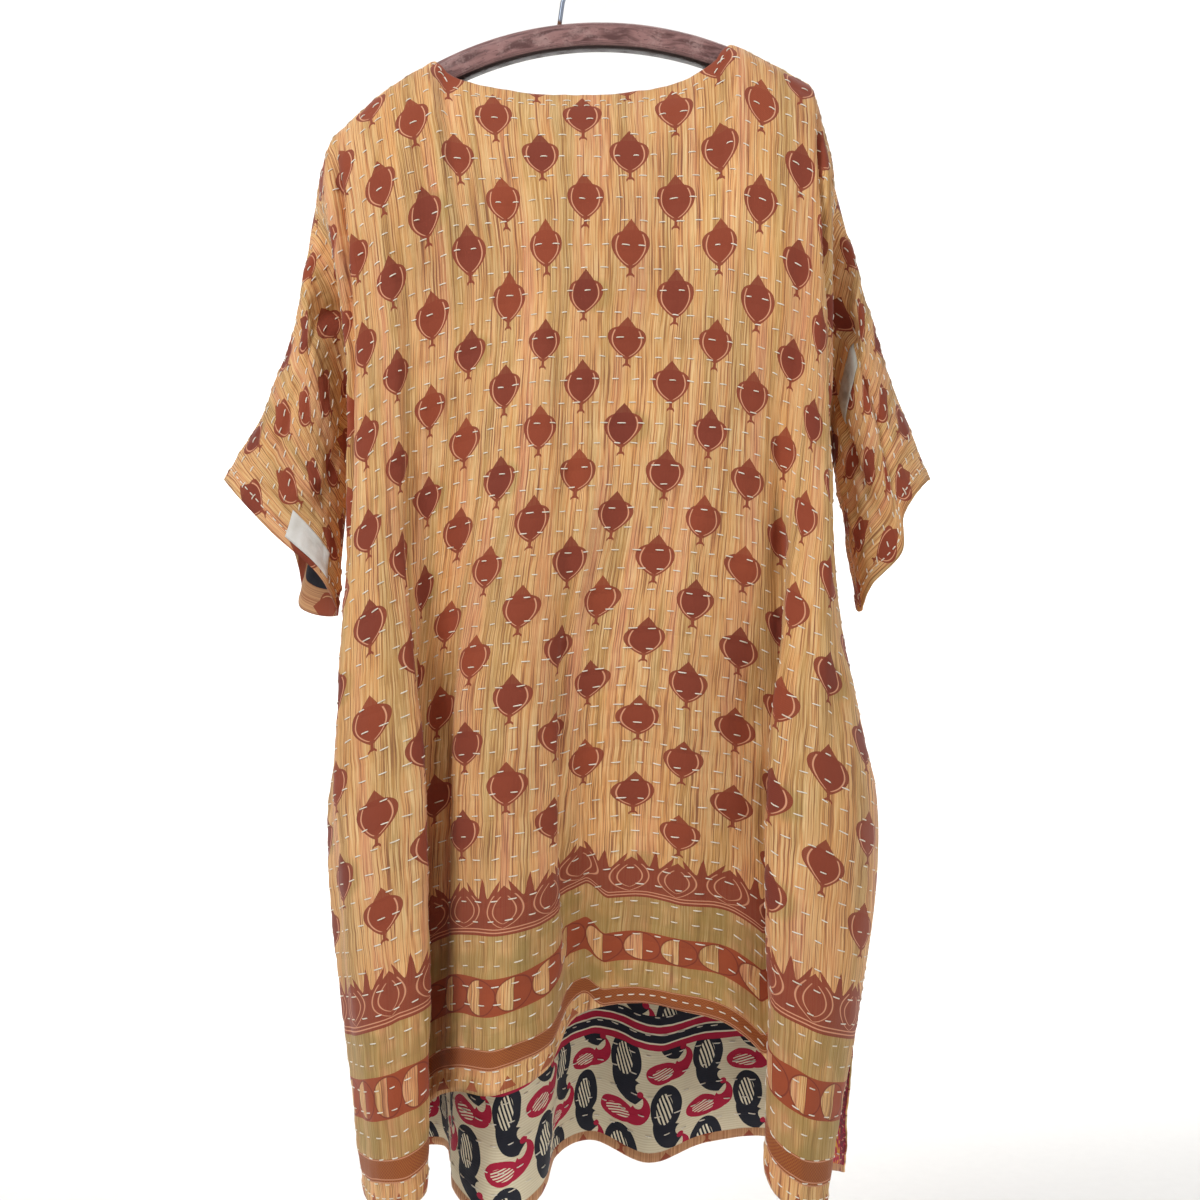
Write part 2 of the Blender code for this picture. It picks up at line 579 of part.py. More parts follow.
def paint(name, color, roughness, metallic=0.0):
    """A plain finish for one kind of piece."""
    material = bpy.data.materials.new(name)
    material.use_nodes = True
    shader = material.node_tree.nodes["Principled BSDF"]
    shader.inputs["Base Color"].default_value = (*color, 1.0)
    shader.inputs["Roughness"].default_value = roughness
    shader.inputs["Metallic"].default_value = metallic
    return material


def main():
    """Clear the scene and build the tunic on its hanger."""
    for old in list(bpy.data.objects):
        bpy.data.objects.remove(old, do_unlink=True)
    group = bpy.data.collections.new("tunic_on_hanger")
    cutters = bpy.data.collections.new("cutters")
    bpy.context.scene.collection.children.link(group)
    bpy.context.scene.collection.children.link(cutters)
    quilt = paint("quilted cotton", (0.60, 0.32, 0.14), 0.85)
    lining = paint("back cotton", (0.62, 0.36, 0.18), 0.85)
    tape = paint("label tape", (0.85, 0.84, 0.80), 0.7)
    mend = paint("mending cloth", (0.72, 0.72, 0.68), 0.85)
    wood = paint("old wood", (0.20, 0.11, 0.09), 0.6)
    steel = paint("steel wire", (0.42, 0.45, 0.50), 0.35, 1.0)

    front = Panel("front_panel", FRONT_FOLDS, SLIT_SWING_FRONT, -1, FRONT_STEPS, FRONT_DROOP)
    back = Panel("back_panel", BACK_FOLDS, SLIT_SWING_BACK, 1, BACK_STEPS, BACK_DROOP)
    cloth_panel(front, group, quilt)
    cloth_panel(back, group, lining)
    sewn_piece("sleeve_label", front, LABEL_US, LABEL_SHARES, LABEL_THICKNESS, group, tape)
    sewn_piece("sleeve_patch", front, PATCH_US, PATCH_SHARES, PATCH_THICKNESS, group, mend)
    hanger_bar(group, cutters, wood)
    hanger_hook(group, steel)


if __name__ == "__main__":
    main()
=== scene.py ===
"""The looks of a hand-quilted tunic that hangs open on an old bowed wooden hanger.

The cloth is worked out from the frame's flat cut and, apart from two heights at the front's hem,
from its folds, only more finely. In the cut, u runs across from cuff to cuff and v runs down from
the shoulder line, both in metres. Stripes, motifs, bands and stitches are all placed by u and v.
"""

from __future__ import annotations

import logging
import math
from dataclasses import dataclass, field
from enum import Enum
from typing import Sequence

import bmesh
import bpy
import numpy as np
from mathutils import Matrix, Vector


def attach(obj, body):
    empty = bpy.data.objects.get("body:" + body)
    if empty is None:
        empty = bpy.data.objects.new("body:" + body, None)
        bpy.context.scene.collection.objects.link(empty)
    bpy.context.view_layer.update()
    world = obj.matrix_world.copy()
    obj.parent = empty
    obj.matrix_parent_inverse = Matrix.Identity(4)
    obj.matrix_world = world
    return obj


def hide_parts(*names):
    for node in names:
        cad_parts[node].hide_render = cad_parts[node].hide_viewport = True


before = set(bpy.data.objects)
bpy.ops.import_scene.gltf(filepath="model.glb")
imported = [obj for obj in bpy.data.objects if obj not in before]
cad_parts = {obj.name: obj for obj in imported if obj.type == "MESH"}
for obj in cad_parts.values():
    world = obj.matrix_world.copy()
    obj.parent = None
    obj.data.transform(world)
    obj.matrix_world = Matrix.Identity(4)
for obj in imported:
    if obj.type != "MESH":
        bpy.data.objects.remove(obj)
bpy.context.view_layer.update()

Array = np.ndarray
Color = tuple[float, float, float]
Place = tuple[float, float, float]
LOG = logging.getLogger("tunic")
BODY = "root"
MM = 1000.0

# The cut, and the levels of the folds as shares of the way from the underarm to the hem
CLOTH_THICKNESS = 0.0016
HALF_NECK = 0.1375
HALF_BODY = 0.370
YOKE_DROP = 0.240
FRONT_LENGTH = 0.930
BACK_LENGTH = 1.030
ELBOW_LEVEL = 0.232
WAIST_LEVEL = 0.522
SLIT_LEVEL = 0.75

# The bow of the hanger, the ridge of the cloth that lies on it, and the u where the cloth leaves it
BOW_RADIUS = 0.315
BOW_CENTRE_X = 0.0333
BOW_TOP_Z = -0.0693
RIDGE_RADIUS = 0.3172
RIDGE_CENTRE_Z = BOW_TOP_Z - BOW_RADIUS
TIP_LEFT = -0.2515
TIP_RIGHT = 0.2150

# The sheen that both faces of the cloth have
CLOTH_SHEEN = 0.12

# The rows of running stitches and the repeat of the woven buds, in the flat cut
STITCH_PITCH = 0.0190
BUD_PITCH_U = 0.080
BUD_PITCH_V = 0.078
BUD_FIRST_V = 0.071


class Side(Enum):
    """Which half of the cloth a piece belongs to, and the way that half faces along Y."""

    FRONT = -1
    BACK = 1


class Face(Enum):
    """The two faces of the cloth: the one that shows, and the reverse inside the tunic."""

    OUTER = 1
    REVERSE = -1


def ease(value: Array) -> Array:
    """0 below 0, 1 above 1, and 3t^2 - 2t^3 between."""
    value = np.clip(value, 0.0, 1.0)
    return value * value * (3 - 2 * value)


def unit(vectors: Array) -> Array:
    """The same directions, each made one long."""
    return vectors / np.maximum(np.linalg.norm(vectors, axis=-1, keepdims=True), 1e-12)


def hermite(start: Array, end: Array, leave: Array, arrive: Array, share: Array) -> Array:
    """The cubic from start to end with the given directions at its two ends.

    Args:
        start, end: the points where the cubic begins and ends.
        leave, arrive: its directions there, for a parameter that runs from 0 to 1.
        share: the parameter.

    Returns:
        The points of the cubic.
    """
    square, cube = share**2, share**3
    return (
        (2 * cube - 3 * square + 1) * start
        + (cube - 2 * square + share) * leave
        + (3 * square - 2 * cube) * end
        + (cube - square) * arrive
    )


def through(knots: Sequence[float], values: Array, at: Array) -> Array:
    """A smooth curve through values at knots.

    Each piece is a cubic whose slope at a knot is that of the chord between its two neighbours.

    Args:
        knots: the rising places of the values.
        values: one row for each knot, of any shape.
        at: where to read the curve.

    Returns:
        One row for each place in `at`.
    """
    knots = np.asarray(knots, float)
    values = np.asarray(values, float)
    shape = (-1,) + (1,) * (values.ndim - 1)
    slopes = np.gradient(values, knots, axis=0)
    slopes[1:-1] = (values[2:] - values[:-2]) / (knots[2:] - knots[:-2]).reshape(shape)
    piece = np.clip(np.searchsorted(knots, at, side="right") - 1, 0, len(knots) - 2)
    span = (knots[piece + 1] - knots[piece]).reshape(shape)
    share = (at - knots[piece]).reshape(shape) / span
    return hermite(
        values[piece], values[piece + 1], slopes[piece] * span, slopes[piece + 1] * span, share
    )


@dataclass(frozen=True)
class Fold:
    """One fold of the body: its place in the cut, and where it hangs at four levels."""

    u: float
    chest: tuple[float, float, float]
    elbow: tuple[float, float]
    waist: tuple[float, float]
    hem: tuple[float, float, float]


# The two sides, where the front and the back meet
LEFT_SEAM = Fold(-0.370, (-0.188, 0.000, -0.435), (-0.166, 0.000), (-0.200, 0.000), (-0.165, 0.000, -1.100))
RIGHT_SEAM = Fold(0.370, (0.238, 0.000, -0.435), (0.226, 0.000), (0.284, 0.000), (0.236, 0.000, -1.112))

FRONT_FOLDS = (
    LEFT_SEAM,
    Fold(-0.322, (-0.180, -0.038, -0.425), (-0.172, -0.040), (-0.206, -0.042), (-0.172, -0.048, -1.105)),
    Fold(-0.275, (-0.185, -0.068, -0.405), (-0.186, -0.073), (-0.188, -0.084), (-0.154, -0.088, -1.105)),
    Fold(-0.235, (-0.165, -0.076, -0.385), (-0.159, -0.092), (-0.150, -0.108), (-0.127, -0.108, -1.096)),
    Fold(-0.200, (-0.141, -0.074, -0.370), (-0.134, -0.083), (-0.113, -0.094), (-0.112, -0.086, -1.082)),
    Fold(-0.165, (-0.115, -0.067, -0.361), (-0.119, -0.060), (-0.130, -0.060), (-0.133, -0.050, -1.062)),
    Fold(-0.130, (-0.086, -0.068, -0.352), (-0.096, -0.062), (-0.116, -0.044), (-0.120, -0.020, -1.036)),
    Fold(-0.095, (-0.057, -0.074, -0.347), (-0.066, -0.080), (-0.094, -0.066), (-0.094, -0.062, -1.012)),
    Fold(-0.045, (-0.017, -0.078, -0.342), (-0.026, -0.092), (-0.048, -0.098), (-0.054, -0.106, -1.002)),
    Fold(0.000, (0.020, -0.076, -0.340), (0.014, -0.087), (-0.002, -0.083), (-0.012, -0.078, -0.988)),
    Fold(0.040, (0.058, -0.073, -0.340), (0.049, -0.076), (0.023, -0.063), (0.012, -0.028, -0.956)),
    Fold(0.085, (0.102, -0.074, -0.342), (0.094, -0.083), (0.074, -0.070), (0.060, -0.018, -0.946)),
    Fold(0.130, (0.142, -0.077, -0.346), (0.132, -0.087), (0.118, -0.073), (0.107, -0.024, -0.952)),
    Fold(0.168, (0.174, -0.075, -0.352), (0.166, -0.079), (0.160, -0.058), (0.151, -0.036, -0.964)),
    Fold(0.203, (0.202, -0.074, -0.361), (0.191, -0.070), (0.189, -0.052), (0.188, -0.036, -1.010)),
    Fold(0.238, (0.219, -0.080, -0.372), (0.203, -0.087), (0.176, -0.089), (0.173, -0.082, -1.072)),
    Fold(0.278, (0.234, -0.066, -0.388), (0.228, -0.092), (0.224, -0.104), (0.197, -0.102, -1.100)),
    Fold(0.325, (0.228, -0.042, -0.417), (0.238, -0.048), (0.269, -0.058), (0.228, -0.068, -1.110)),
    RIGHT_SEAM,
)
BACK_FOLDS = (
    LEFT_SEAM,
    Fold(-0.322, (-0.180, 0.038, -0.425), (-0.172, 0.042), (-0.200, 0.044), (-0.163, 0.056, -1.108)),
    Fold(-0.270, (-0.183, 0.066, -0.403), (-0.182, 0.074), (-0.180, 0.084), (-0.146, 0.086, -1.108)),
    Fold(-0.222, (-0.149, 0.070, -0.380), (-0.148, 0.084), (-0.144, 0.092), (-0.116, 0.078, -1.104)),
    Fold(-0.178, (-0.116, 0.068, -0.364), (-0.116, 0.074), (-0.114, 0.070), (-0.104, 0.046, -1.108)),
    Fold(-0.136, (-0.084, 0.064, -0.355), (-0.082, 0.062), (-0.084, 0.042), (-0.096, 0.000, -1.122)),
    Fold(-0.090, (-0.050, 0.064, -0.347), (-0.050, 0.060), (-0.054, 0.030), (-0.058, -0.034, -1.136)),
    Fold(-0.044, (-0.016, 0.066, -0.342), (-0.016, 0.068), (-0.020, 0.048), (-0.019, 0.000, -1.122)),
    Fold(0.000, (0.018, 0.070, -0.340), (0.018, 0.082), (0.012, 0.078), (-0.008, 0.050, -1.104)),
    Fold(0.052, (0.056, 0.072, -0.341), (0.058, 0.092), (0.054, 0.100), (0.026, 0.070, -1.096)),
    Fold(0.104, (0.095, 0.072, -0.343), (0.098, 0.092), (0.098, 0.100), (0.078, 0.060, -1.114)),
    Fold(0.158, (0.136, 0.070, -0.350), (0.140, 0.086), (0.142, 0.094), (0.132, 0.074, -1.100)),
    Fold(0.210, (0.175, 0.072, -0.362), (0.180, 0.084), (0.186, 0.090), (0.184, 0.088, -1.098)),
    Fold(0.262, (0.214, 0.070, -0.380), (0.220, 0.084), (0.230, 0.090), (0.226, 0.090, -1.110)),
    Fold(0.320, (0.227, 0.040, -0.413), (0.236, 0.046), (0.264, 0.056), (0.246, 0.062, -1.120)),
    RIGHT_SEAM,
)

# How far each cuff is pushed outwards and downwards, by side: (share down the cuff, out, down)
FRONT_DROOP = {
    -1: ((0.0, 0.0, 0.0), (0.42, -0.010, 0.0), (0.62, -0.020, 0.0), (0.80, -0.013, 0.0), (1.0, 0.0, 0.0)),
    1: ((0.0, 0.0, 0.0), (0.34, -0.014, 0.0), (0.54, 0.002, 0.0), (0.72, -0.008, 0.0), (1.0, 0.0, 0.0)),
}
BACK_DROOP = {
    -1: ((0.0, 0.0, 0.0), (0.42, -0.009, 0.004), (0.62, 0.006, 0.008), (0.80, 0.026, 0.006), (1.0, 0.0, 0.0)),
    1: ((0.0, 0.0, 0.0), (0.34, -0.014, 0.003), (0.54, 0.002, 0.008), (0.72, -0.007, 0.004), (1.0, 0.0, 0.0)),
}


@dataclass(frozen=True)
class Crease:
    """A soft trough, or a ridge where the depth is below 0, drawn between two places of the cut."""

    start: tuple[float, float]
    end: tuple[float, float]
    width: float
    depth: float
    bow: float = 0.0

    def drop(self, u: Array, v: Array) -> Array:
        """How far the cloth is pressed in: a bell across a bowed line, which fades at both ends."""
        run_u, run_v = self.end[0] - self.start[0], self.end[1] - self.start[1]
        length = math.hypot(run_u, run_v)
        along = ((u - self.start[0]) * run_u + (v - self.start[1]) * run_v) / length**2
        held = np.clip(along, 0.0, 1.0)
        across = ((u - self.start[0]) * run_v - (v - self.start[1]) * run_u) / length
        across = across - self.bow * 4 * held * (1 - held)
        return self.depth * np.exp(-((across / self.width) ** 2)) * np.sin(np.pi * held) ** 0.7


def ridge_on_bow(x: Array) -> Array:
    """Height of the cloth's ridge on the bar: the upper half of a circle about the bow's centre."""
    return RIDGE_CENTRE_Z + np.sqrt(RIDGE_RADIUS**2 - (x - BOW_CENTRE_X) ** 2)


def uneven(u: Array, v: Array, size: float, seed: int) -> Array:
    """A smooth, irregular relief between about -1 and 1: seven sine waves, of set directions.

    Args:
        u, v: places in the cut.
        size: the typical distance from one rise to the next.
        seed: picks the directions and phases.

    Returns:
        The relief at each place.
    """
    draw = np.random.default_rng(seed)
    angle = draw.uniform(0, math.tau, 7)
    wave = math.tau / (size * draw.uniform(0.7, 1.7, 7))
    phase = draw.uniform(0, math.tau, 7)
    total = np.zeros_like(u)
    for turn, number, start in zip(angle, wave, phase):
        total = total + np.sin(number * (u * math.cos(turn) + v * math.sin(turn)) + start)
    return total / 4.0


@dataclass
class ClothPanel:
    """One panel of quilted cloth, cut in one with its two half sleeves.

    The grid has a column for each u of the cut and a row for each step down it. Above the
    underarm a column is one cubic from the shoulder line to the underarm line. Below it, each row
    is a smooth curve through the folds.
    """

    name: str
    node: str
    side: Side
    length: float
    folds: tuple[Fold, ...]
    swing: dict[int, tuple[float, float]]
    droop: dict[int, tuple[Place, ...]]
    creases: tuple[Crease, ...]
    seed: int
    spacing: float = 0.005
    cuffs: tuple[float, float] = (-0.5685, 0.5792)
    seam_gap: float = 0.0003
    hem_width: float = 0.0105
    hem_rise: float = 0.0007
    quilt_rise: float = 0.0006
    u: Array = field(init=False, repr=False)
    points: Array = field(init=False, repr=False)
    flat: Array = field(init=False, repr=False)
    normals: Array = field(init=False, repr=False)
    yoke_rows: int = field(init=False)

    SLEEVE_TOPS = {
        -1: ((-0.5685, -0.3042, -0.4797), (-0.4860, -0.2637, -0.4077),
             (-0.4005, -0.2370, -0.3267), (-0.3190, -0.2250, -0.2460)),
        1: ((0.3136, 0.2475, -0.2277), (0.4254, 0.2763, -0.3357),
            (0.4823, 0.2943, -0.3897), (0.5792, 0.3303, -0.4797)),
    }
    CUFF_LOWS = {-1: (-0.204, 0.0, -0.602), 1: (0.268, 0.0, -0.598)}
    # The neck: its lowest place, and how its edge turns down over the bar and leaves it
    NECK_CENTRE = (0.0175, 0.026, -0.142)
    NECK_WRAP = 0.0155
    NECK_WRAP_RUN = 0.014
    NECK_COLUMNS = 8
    NECK_GAP_AT = 0.1305
    NECK_GAP = 0.0105
    NECK_LEAVE_LESS = 0.50
    NECK_LEAVE_DOWN = 0.12
    SCOOP_POWER = 0.62
    # How much of the cut the neck takes: down beside the bar, and more in the middle
    CUT_BESIDE = 0.024
    CUT_MIDDLE = 0.021
    NECK_AREA = 0.010
    # How strongly a sleeve rounds out of its fold line, and into its under-seam
    FULLNESS = (0.205, 0.150)
    CLOSING_BEFORE = 0.025
    CLOSING_RUN = 0.070
    DROOP_FROM = 0.440
    DROOP_RUN = 0.130
    # The valley at each armpit
    ARMPIT_U = 0.325
    ARMPIT_WIDTH = 0.030
    ARMPIT_DEPTH = 0.030
    ARMPIT_SHIFT = 0.012
    # Shares down the yoke: close steps near the shoulder line, even ones from there on
    CLOSE_STEPS = (0, 0.13, 12)
    EVEN_STEPS = (0.13, 1, 41)
    BAR_POINTS = 6
    # Relief: |sin| less its mean, and two layers of unevenness as
    # (stretch of u, stretch of v, size, height, added to the seed)
    ROW_MEAN = 0.64
    PULL_SIZE = 0.060
    UNEVEN = ((1.0, 0.55, 0.050, 0.0011, 0), (1.2, 0.4, 0.024, 0.0006, 2))
    HEM_FADE = 0.003
    SEAM_FADE = 0.016
    # Strips beside a seam and a slit, and how far a slit's edges are kept from the seam plane
    SEAM_STRIP = 0.025
    SLIT_STRIP = 0.012
    SLIT_APART = 0.0016

    def __post_init__(self) -> None:
        """Work the cloth out once, with its hems, quilting and creases."""
        self.u = self._columns()
        share = np.concatenate([np.linspace(*self.CLOSE_STEPS), np.linspace(*self.EVEN_STEPS)[1:]])
        levels = np.linspace(0, 1, round((self.length - YOKE_DROP) / self.spacing) + 1)[1:]
        self.yoke_rows = len(share) - 1
        body = np.clip(self.u, -HALF_BODY, HALF_BODY)
        above = self._yoke(share)
        below = np.stack([self._body_row(body, level) for level in levels], axis=1)
        self.points = np.concatenate([above, below], axis=1)
        self.flat = self._flat_places(above, levels)
        self.normals = self._normals()
        self.points = self.points + self.normals * self._relief()[..., None]
        self.normals = self._normals()

    def _columns(self) -> Array:
        """The u of every column: even steps, closer together beside the neck points."""
        even = np.linspace(-HALF_BODY, HALF_BODY, round(2 * HALF_BODY / self.spacing) + 1)
        even = even[np.abs(np.abs(even) - self.NECK_GAP_AT) > self.NECK_GAP]
        crossing = np.linspace(HALF_NECK, HALF_NECK - self.NECK_WRAP_RUN, self.NECK_COLUMNS)
        sleeves = [
            side * np.linspace(HALF_BODY, abs(cuff), round((abs(cuff) - HALF_BODY) / self.spacing) + 1)
            for side, cuff in zip((-1, 1), self.cuffs)
        ]
        return np.unique(np.round(np.concatenate([even, crossing, -crossing, *sleeves]), 6))

    def _scoop(self, u: Array) -> Array:
        """How far the neck edge has dipped: 1 in its middle, 0 where it crosses the bar."""
        half = HALF_NECK - self.NECK_WRAP_RUN
        return np.clip(1 - (u / half) ** 2, 0, 1) ** self.SCOOP_POWER

    def _shoulder(self, u: Array, side: int) -> Array:
        """The ridge from a neck point to its cuff: an arc on the bar, then the sleeve's fold."""
        neck_x = self.NECK_CENTRE[0]
        tip = TIP_RIGHT if side > 0 else TIP_LEFT
        on_bar = side * np.linspace(HALF_NECK, abs(tip), self.BAR_POINTS)
        start = math.asin((neck_x + side * HALF_NECK - BOW_CENTRE_X) / RIDGE_RADIUS)
        xs = BOW_CENTRE_X + RIDGE_RADIUS * np.sin(start + (on_bar - side * HALF_NECK) / RIDGE_RADIUS)
        table = np.vstack([np.stack([on_bar, xs, ridge_on_bow(xs)], 1), self.SLEEVE_TOPS[side]])
        table = table[np.argsort(table[:, 0])]
        values = np.stack([table[:, 1], np.zeros(len(table)), table[:, 2]], axis=1)
        return through(table[:, 0], values, u)

    def _top_line(self) -> tuple[Array, Array]:
        """The upper edge of the panel, and the direction in which the cloth leaves it.

        Beside each neck point the edge crosses the bar, and between them it dips: the height
        falls with a power of 1 - (u / half width)^2.

        Returns:
            The points of the edge, and the directions there.
        """
        facing, u = self.side.value, self.u
        points = np.zeros((len(u), 3))
        leave = np.tile([0.0, facing * self.FULLNESS[0], 0.0], (len(u), 1))
        for side in (-1, 1):
            mask = side * u >= HALF_NECK - 1e-9
            points[mask] = self._shoulder(u[mask], side)
        neck = np.abs(u) < HALF_NECK - 1e-9
        at = u[neck]
        turn = np.clip((HALF_NECK - np.abs(at)) / self.NECK_WRAP_RUN, 0, 1) * math.pi / 2
        scoop = self._scoop(at)
        centre_x, centre_y, centre_z = self.NECK_CENTRE
        crossing = np.sign(at) * np.maximum(np.abs(at), HALF_NECK - self.NECK_WRAP_RUN) + centre_x
        z = ridge_on_bow(crossing) - self.NECK_WRAP * (1 - np.cos(turn))
        z = z + (centre_z - z) * scoop
        y = self.NECK_WRAP * np.sin(turn) + (centre_y - self.NECK_WRAP) * scoop
        points[neck] = np.stack([centre_x + at, facing * y, z], axis=-1)
        leave[neck, 1] *= 1 - self.NECK_LEAVE_LESS * np.sin(turn)
        leave[neck, 2] = -self.NECK_LEAVE_DOWN * np.sin(turn)
        return points, leave

    def _body_row(self, u: Array, level: float) -> Array:
        """One row of the body: a smooth curve through the places of all the folds at one level."""
        plan = np.array([(fold.chest[:2], fold.elbow, fold.waist, fold.hem[:2]) for fold in self.folds])
        at = through((0.0, ELBOW_LEVEL, WAIST_LEVEL, 1.0), plan.transpose(1, 0, 2), np.array([level]))[0]
        chest_z = np.array([fold.chest[2] for fold in self.folds])
        hem_z = np.array([fold.hem[2] for fold in self.folds])
        places = np.column_stack([at, chest_z + (hem_z - chest_z) * level])
        opened = max(0.0, (level - SLIT_LEVEL) / (1 - SLIT_LEVEL)) ** 1.5
        places[0, :2] += np.array(self.swing[-1]) * opened
        places[-1, :2] += np.array(self.swing[1]) * opened
        return through([fold.u for fold in self.folds], places, u)

    def _under_line(self) -> Array:
        """The lower edge of the yoke: the chest row, and each sleeve's straight under-seam."""
        points = self._body_row(np.clip(self.u, -HALF_BODY, HALF_BODY), 0.0)
        for side, end in ((-1, 0), (1, -1)):
            mask = side * self.u > HALF_BODY
            run = (np.abs(self.u[mask]) - HALF_BODY) / (abs(self.cuffs[end]) - HALF_BODY)
            start = np.array(self.folds[end].chest)
            points[mask] = start + (np.array(self.CUFF_LOWS[side]) - start) * run[:, None]
        return points

    def _yoke(self, share: Array) -> Array:
        """The cloth above the underarm: one cubic for each column, with a valley at each armpit.

        Args:
            share: places along a column, 0 on the shoulder line and 1 at the underarm.

        Returns:
            The points, by column and row.
        """
        facing, across = self.side.value, np.abs(self.u)
        top, leave = self._top_line()
        under = self._under_line()
        elbow = self._body_row(np.clip(self.u, -HALF_BODY, HALF_BODY), ELBOW_LEVEL)
        hanging = (elbow - under) * (YOKE_DROP / (ELBOW_LEVEL * (FRONT_LENGTH - YOKE_DROP)))
        closing = np.array([0.0, -facing * self.FULLNESS[1], 0.0])
        on_sleeve = ease((across - HALF_BODY + self.CLOSING_BEFORE) / self.CLOSING_RUN)[:, None]
        arrive = hanging * (1 - on_sleeve) + closing * on_sleeve
        points = hermite(
            top[:, None], under[:, None], leave[:, None], arrive[:, None], share[None, :, None]
        )
        swell = np.sin(math.pi * share)[None, :]
        valley = np.exp(-(((across - self.ARMPIT_U) / self.ARMPIT_WIDTH) ** 2))[:, None] * swell
        points[..., 0] -= np.sign(self.u)[:, None] * self.ARMPIT_SHIFT * valley
        points[..., 1] -= facing * self.ARMPIT_DEPTH * valley
        for side, knots in self.droop.items():
            shares, pushes = np.split(np.array(knots), [1], axis=1)
            out, down = through(shares[:, 0], pushes, share).T
            sleeve = ease((side * self.u - self.DROOP_FROM) / self.DROOP_RUN)[:, None]
            points[..., 0] += side * out * sleeve
            points[..., 2] -= down * sleeve
        return points

    def _flat_places(self, above: Array, levels: Array) -> Array:
        """Where each point of the grid lies in the flat cut.

        Above the underarm v grows with the distance along the column. Below it v grows with the
        drop, and with its square where the cloth is longer than the drop.
        """
        steps = np.linalg.norm(np.diff(above, axis=1), axis=2)
        walked = np.concatenate([np.zeros((len(self.u), 1)), np.cumsum(steps, axis=1)], axis=1)
        inside = np.clip(HALF_NECK - np.abs(self.u), 0, None)
        first = self.CUT_BESIDE * np.sin(np.clip(inside / self.NECK_WRAP_RUN, 0, 1) * math.pi / 2)
        first = (first + self.CUT_MIDDLE * self._scoop(self.u) * (inside > 0))[:, None]
        upper = first + walked / walked[:, -1:] * (YOKE_DROP - first)
        body = np.clip(self.u, -HALF_BODY, HALF_BODY)
        fall = (above[:, -1, 2] - self._body_row(body, 1.0)[:, 2])[:, None]
        lower = YOKE_DROP + fall * levels + (self.length - YOKE_DROP - fall) * levels**2
        v = np.concatenate([upper, lower], axis=1)
        return np.stack([np.broadcast_to(self.u[:, None], v.shape), v], axis=-1)

    def _normals(self) -> Array:
        """Outward directions: the product of the grid's two tangents, made one long."""
        across = np.gradient(self.points, axis=0)
        down = np.gradient(self.points, axis=1)
        return unit(np.cross(across, down) * self.side.value)

    def edges(self) -> tuple[Array, Array]:
        """Distances in the cut from every grid point to the nearest free edge and nearest seam."""
        u, v = self.flat[..., 0], self.flat[..., 1]
        across, far = np.abs(u), np.ones_like(u)
        cuff = np.where(u < 0, -self.cuffs[0], self.cuffs[1]) - across
        neck = np.where(across < HALF_NECK, v - v[:, :1], far)
        opened = v > YOKE_DROP + SLIT_LEVEL * (self.length - YOKE_DROP)
        side = HALF_BODY - across
        free = np.minimum.reduce([cuff, neck, self.length - v, np.where(opened, side, far)])
        shoulder = np.hypot(v, np.clip(HALF_NECK - across, 0, None))
        under = np.hypot(np.clip(side, 0, None), YOKE_DROP - v)
        seam = np.minimum(shoulder, np.where(v < YOKE_DROP, under, far))
        return free, np.minimum(seam, np.where((v >= YOKE_DROP) & ~opened, side, far))

    def _relief(self) -> Array:
        """How far each point stands out: doubled hems, quilted rows, creases and unevenness.

        A quilted row is |sin(pi v / pitch)|, low on the stitches. All of it fades to nothing at
        the seams, so that the two panels still meet there.
        """
        u, v = self.flat[..., 0], self.flat[..., 1]
        free, seam = self.edges()
        hem = self.hem_rise * (1 - ease((free - self.hem_width) / self.HEM_FADE))
        rows = np.abs(np.sin(math.pi * v / STITCH_PITCH)) - self.ROW_MEAN
        pull = 1 + 0.5 * uneven(u, v, self.PULL_SIZE, self.seed + 1)
        relief = self.quilt_rise * rows * pull
        for stretch_u, stretch_v, size, height, more in self.UNEVEN:
            relief = relief + height * uneven(u * stretch_u, v * stretch_v, size, self.seed + more)
        for crease in self.creases:
            relief = relief - crease.drop(u, v)
        return hem + relief * ease(seam / self.SEAM_FADE)

    def _parted(self) -> Array:
        """The points, kept on their own side of the seam plane along the seams and side slits."""
        seam = self.edges()[1]
        facing = self.side.value
        along = np.where(seam < self.SEAM_STRIP, self.seam_gap / 2, -1.0)
        slit = (HALF_BODY - np.abs(self.flat[..., 0]) < self.SLIT_STRIP) & (self.flat[..., 1] > YOKE_DROP)
        along = np.where(slit & (seam >= self.SEAM_STRIP), self.SLIT_APART, along)
        points = self.points.copy()
        points[..., 1] = facing * np.maximum(facing * points[..., 1], along)
        return points

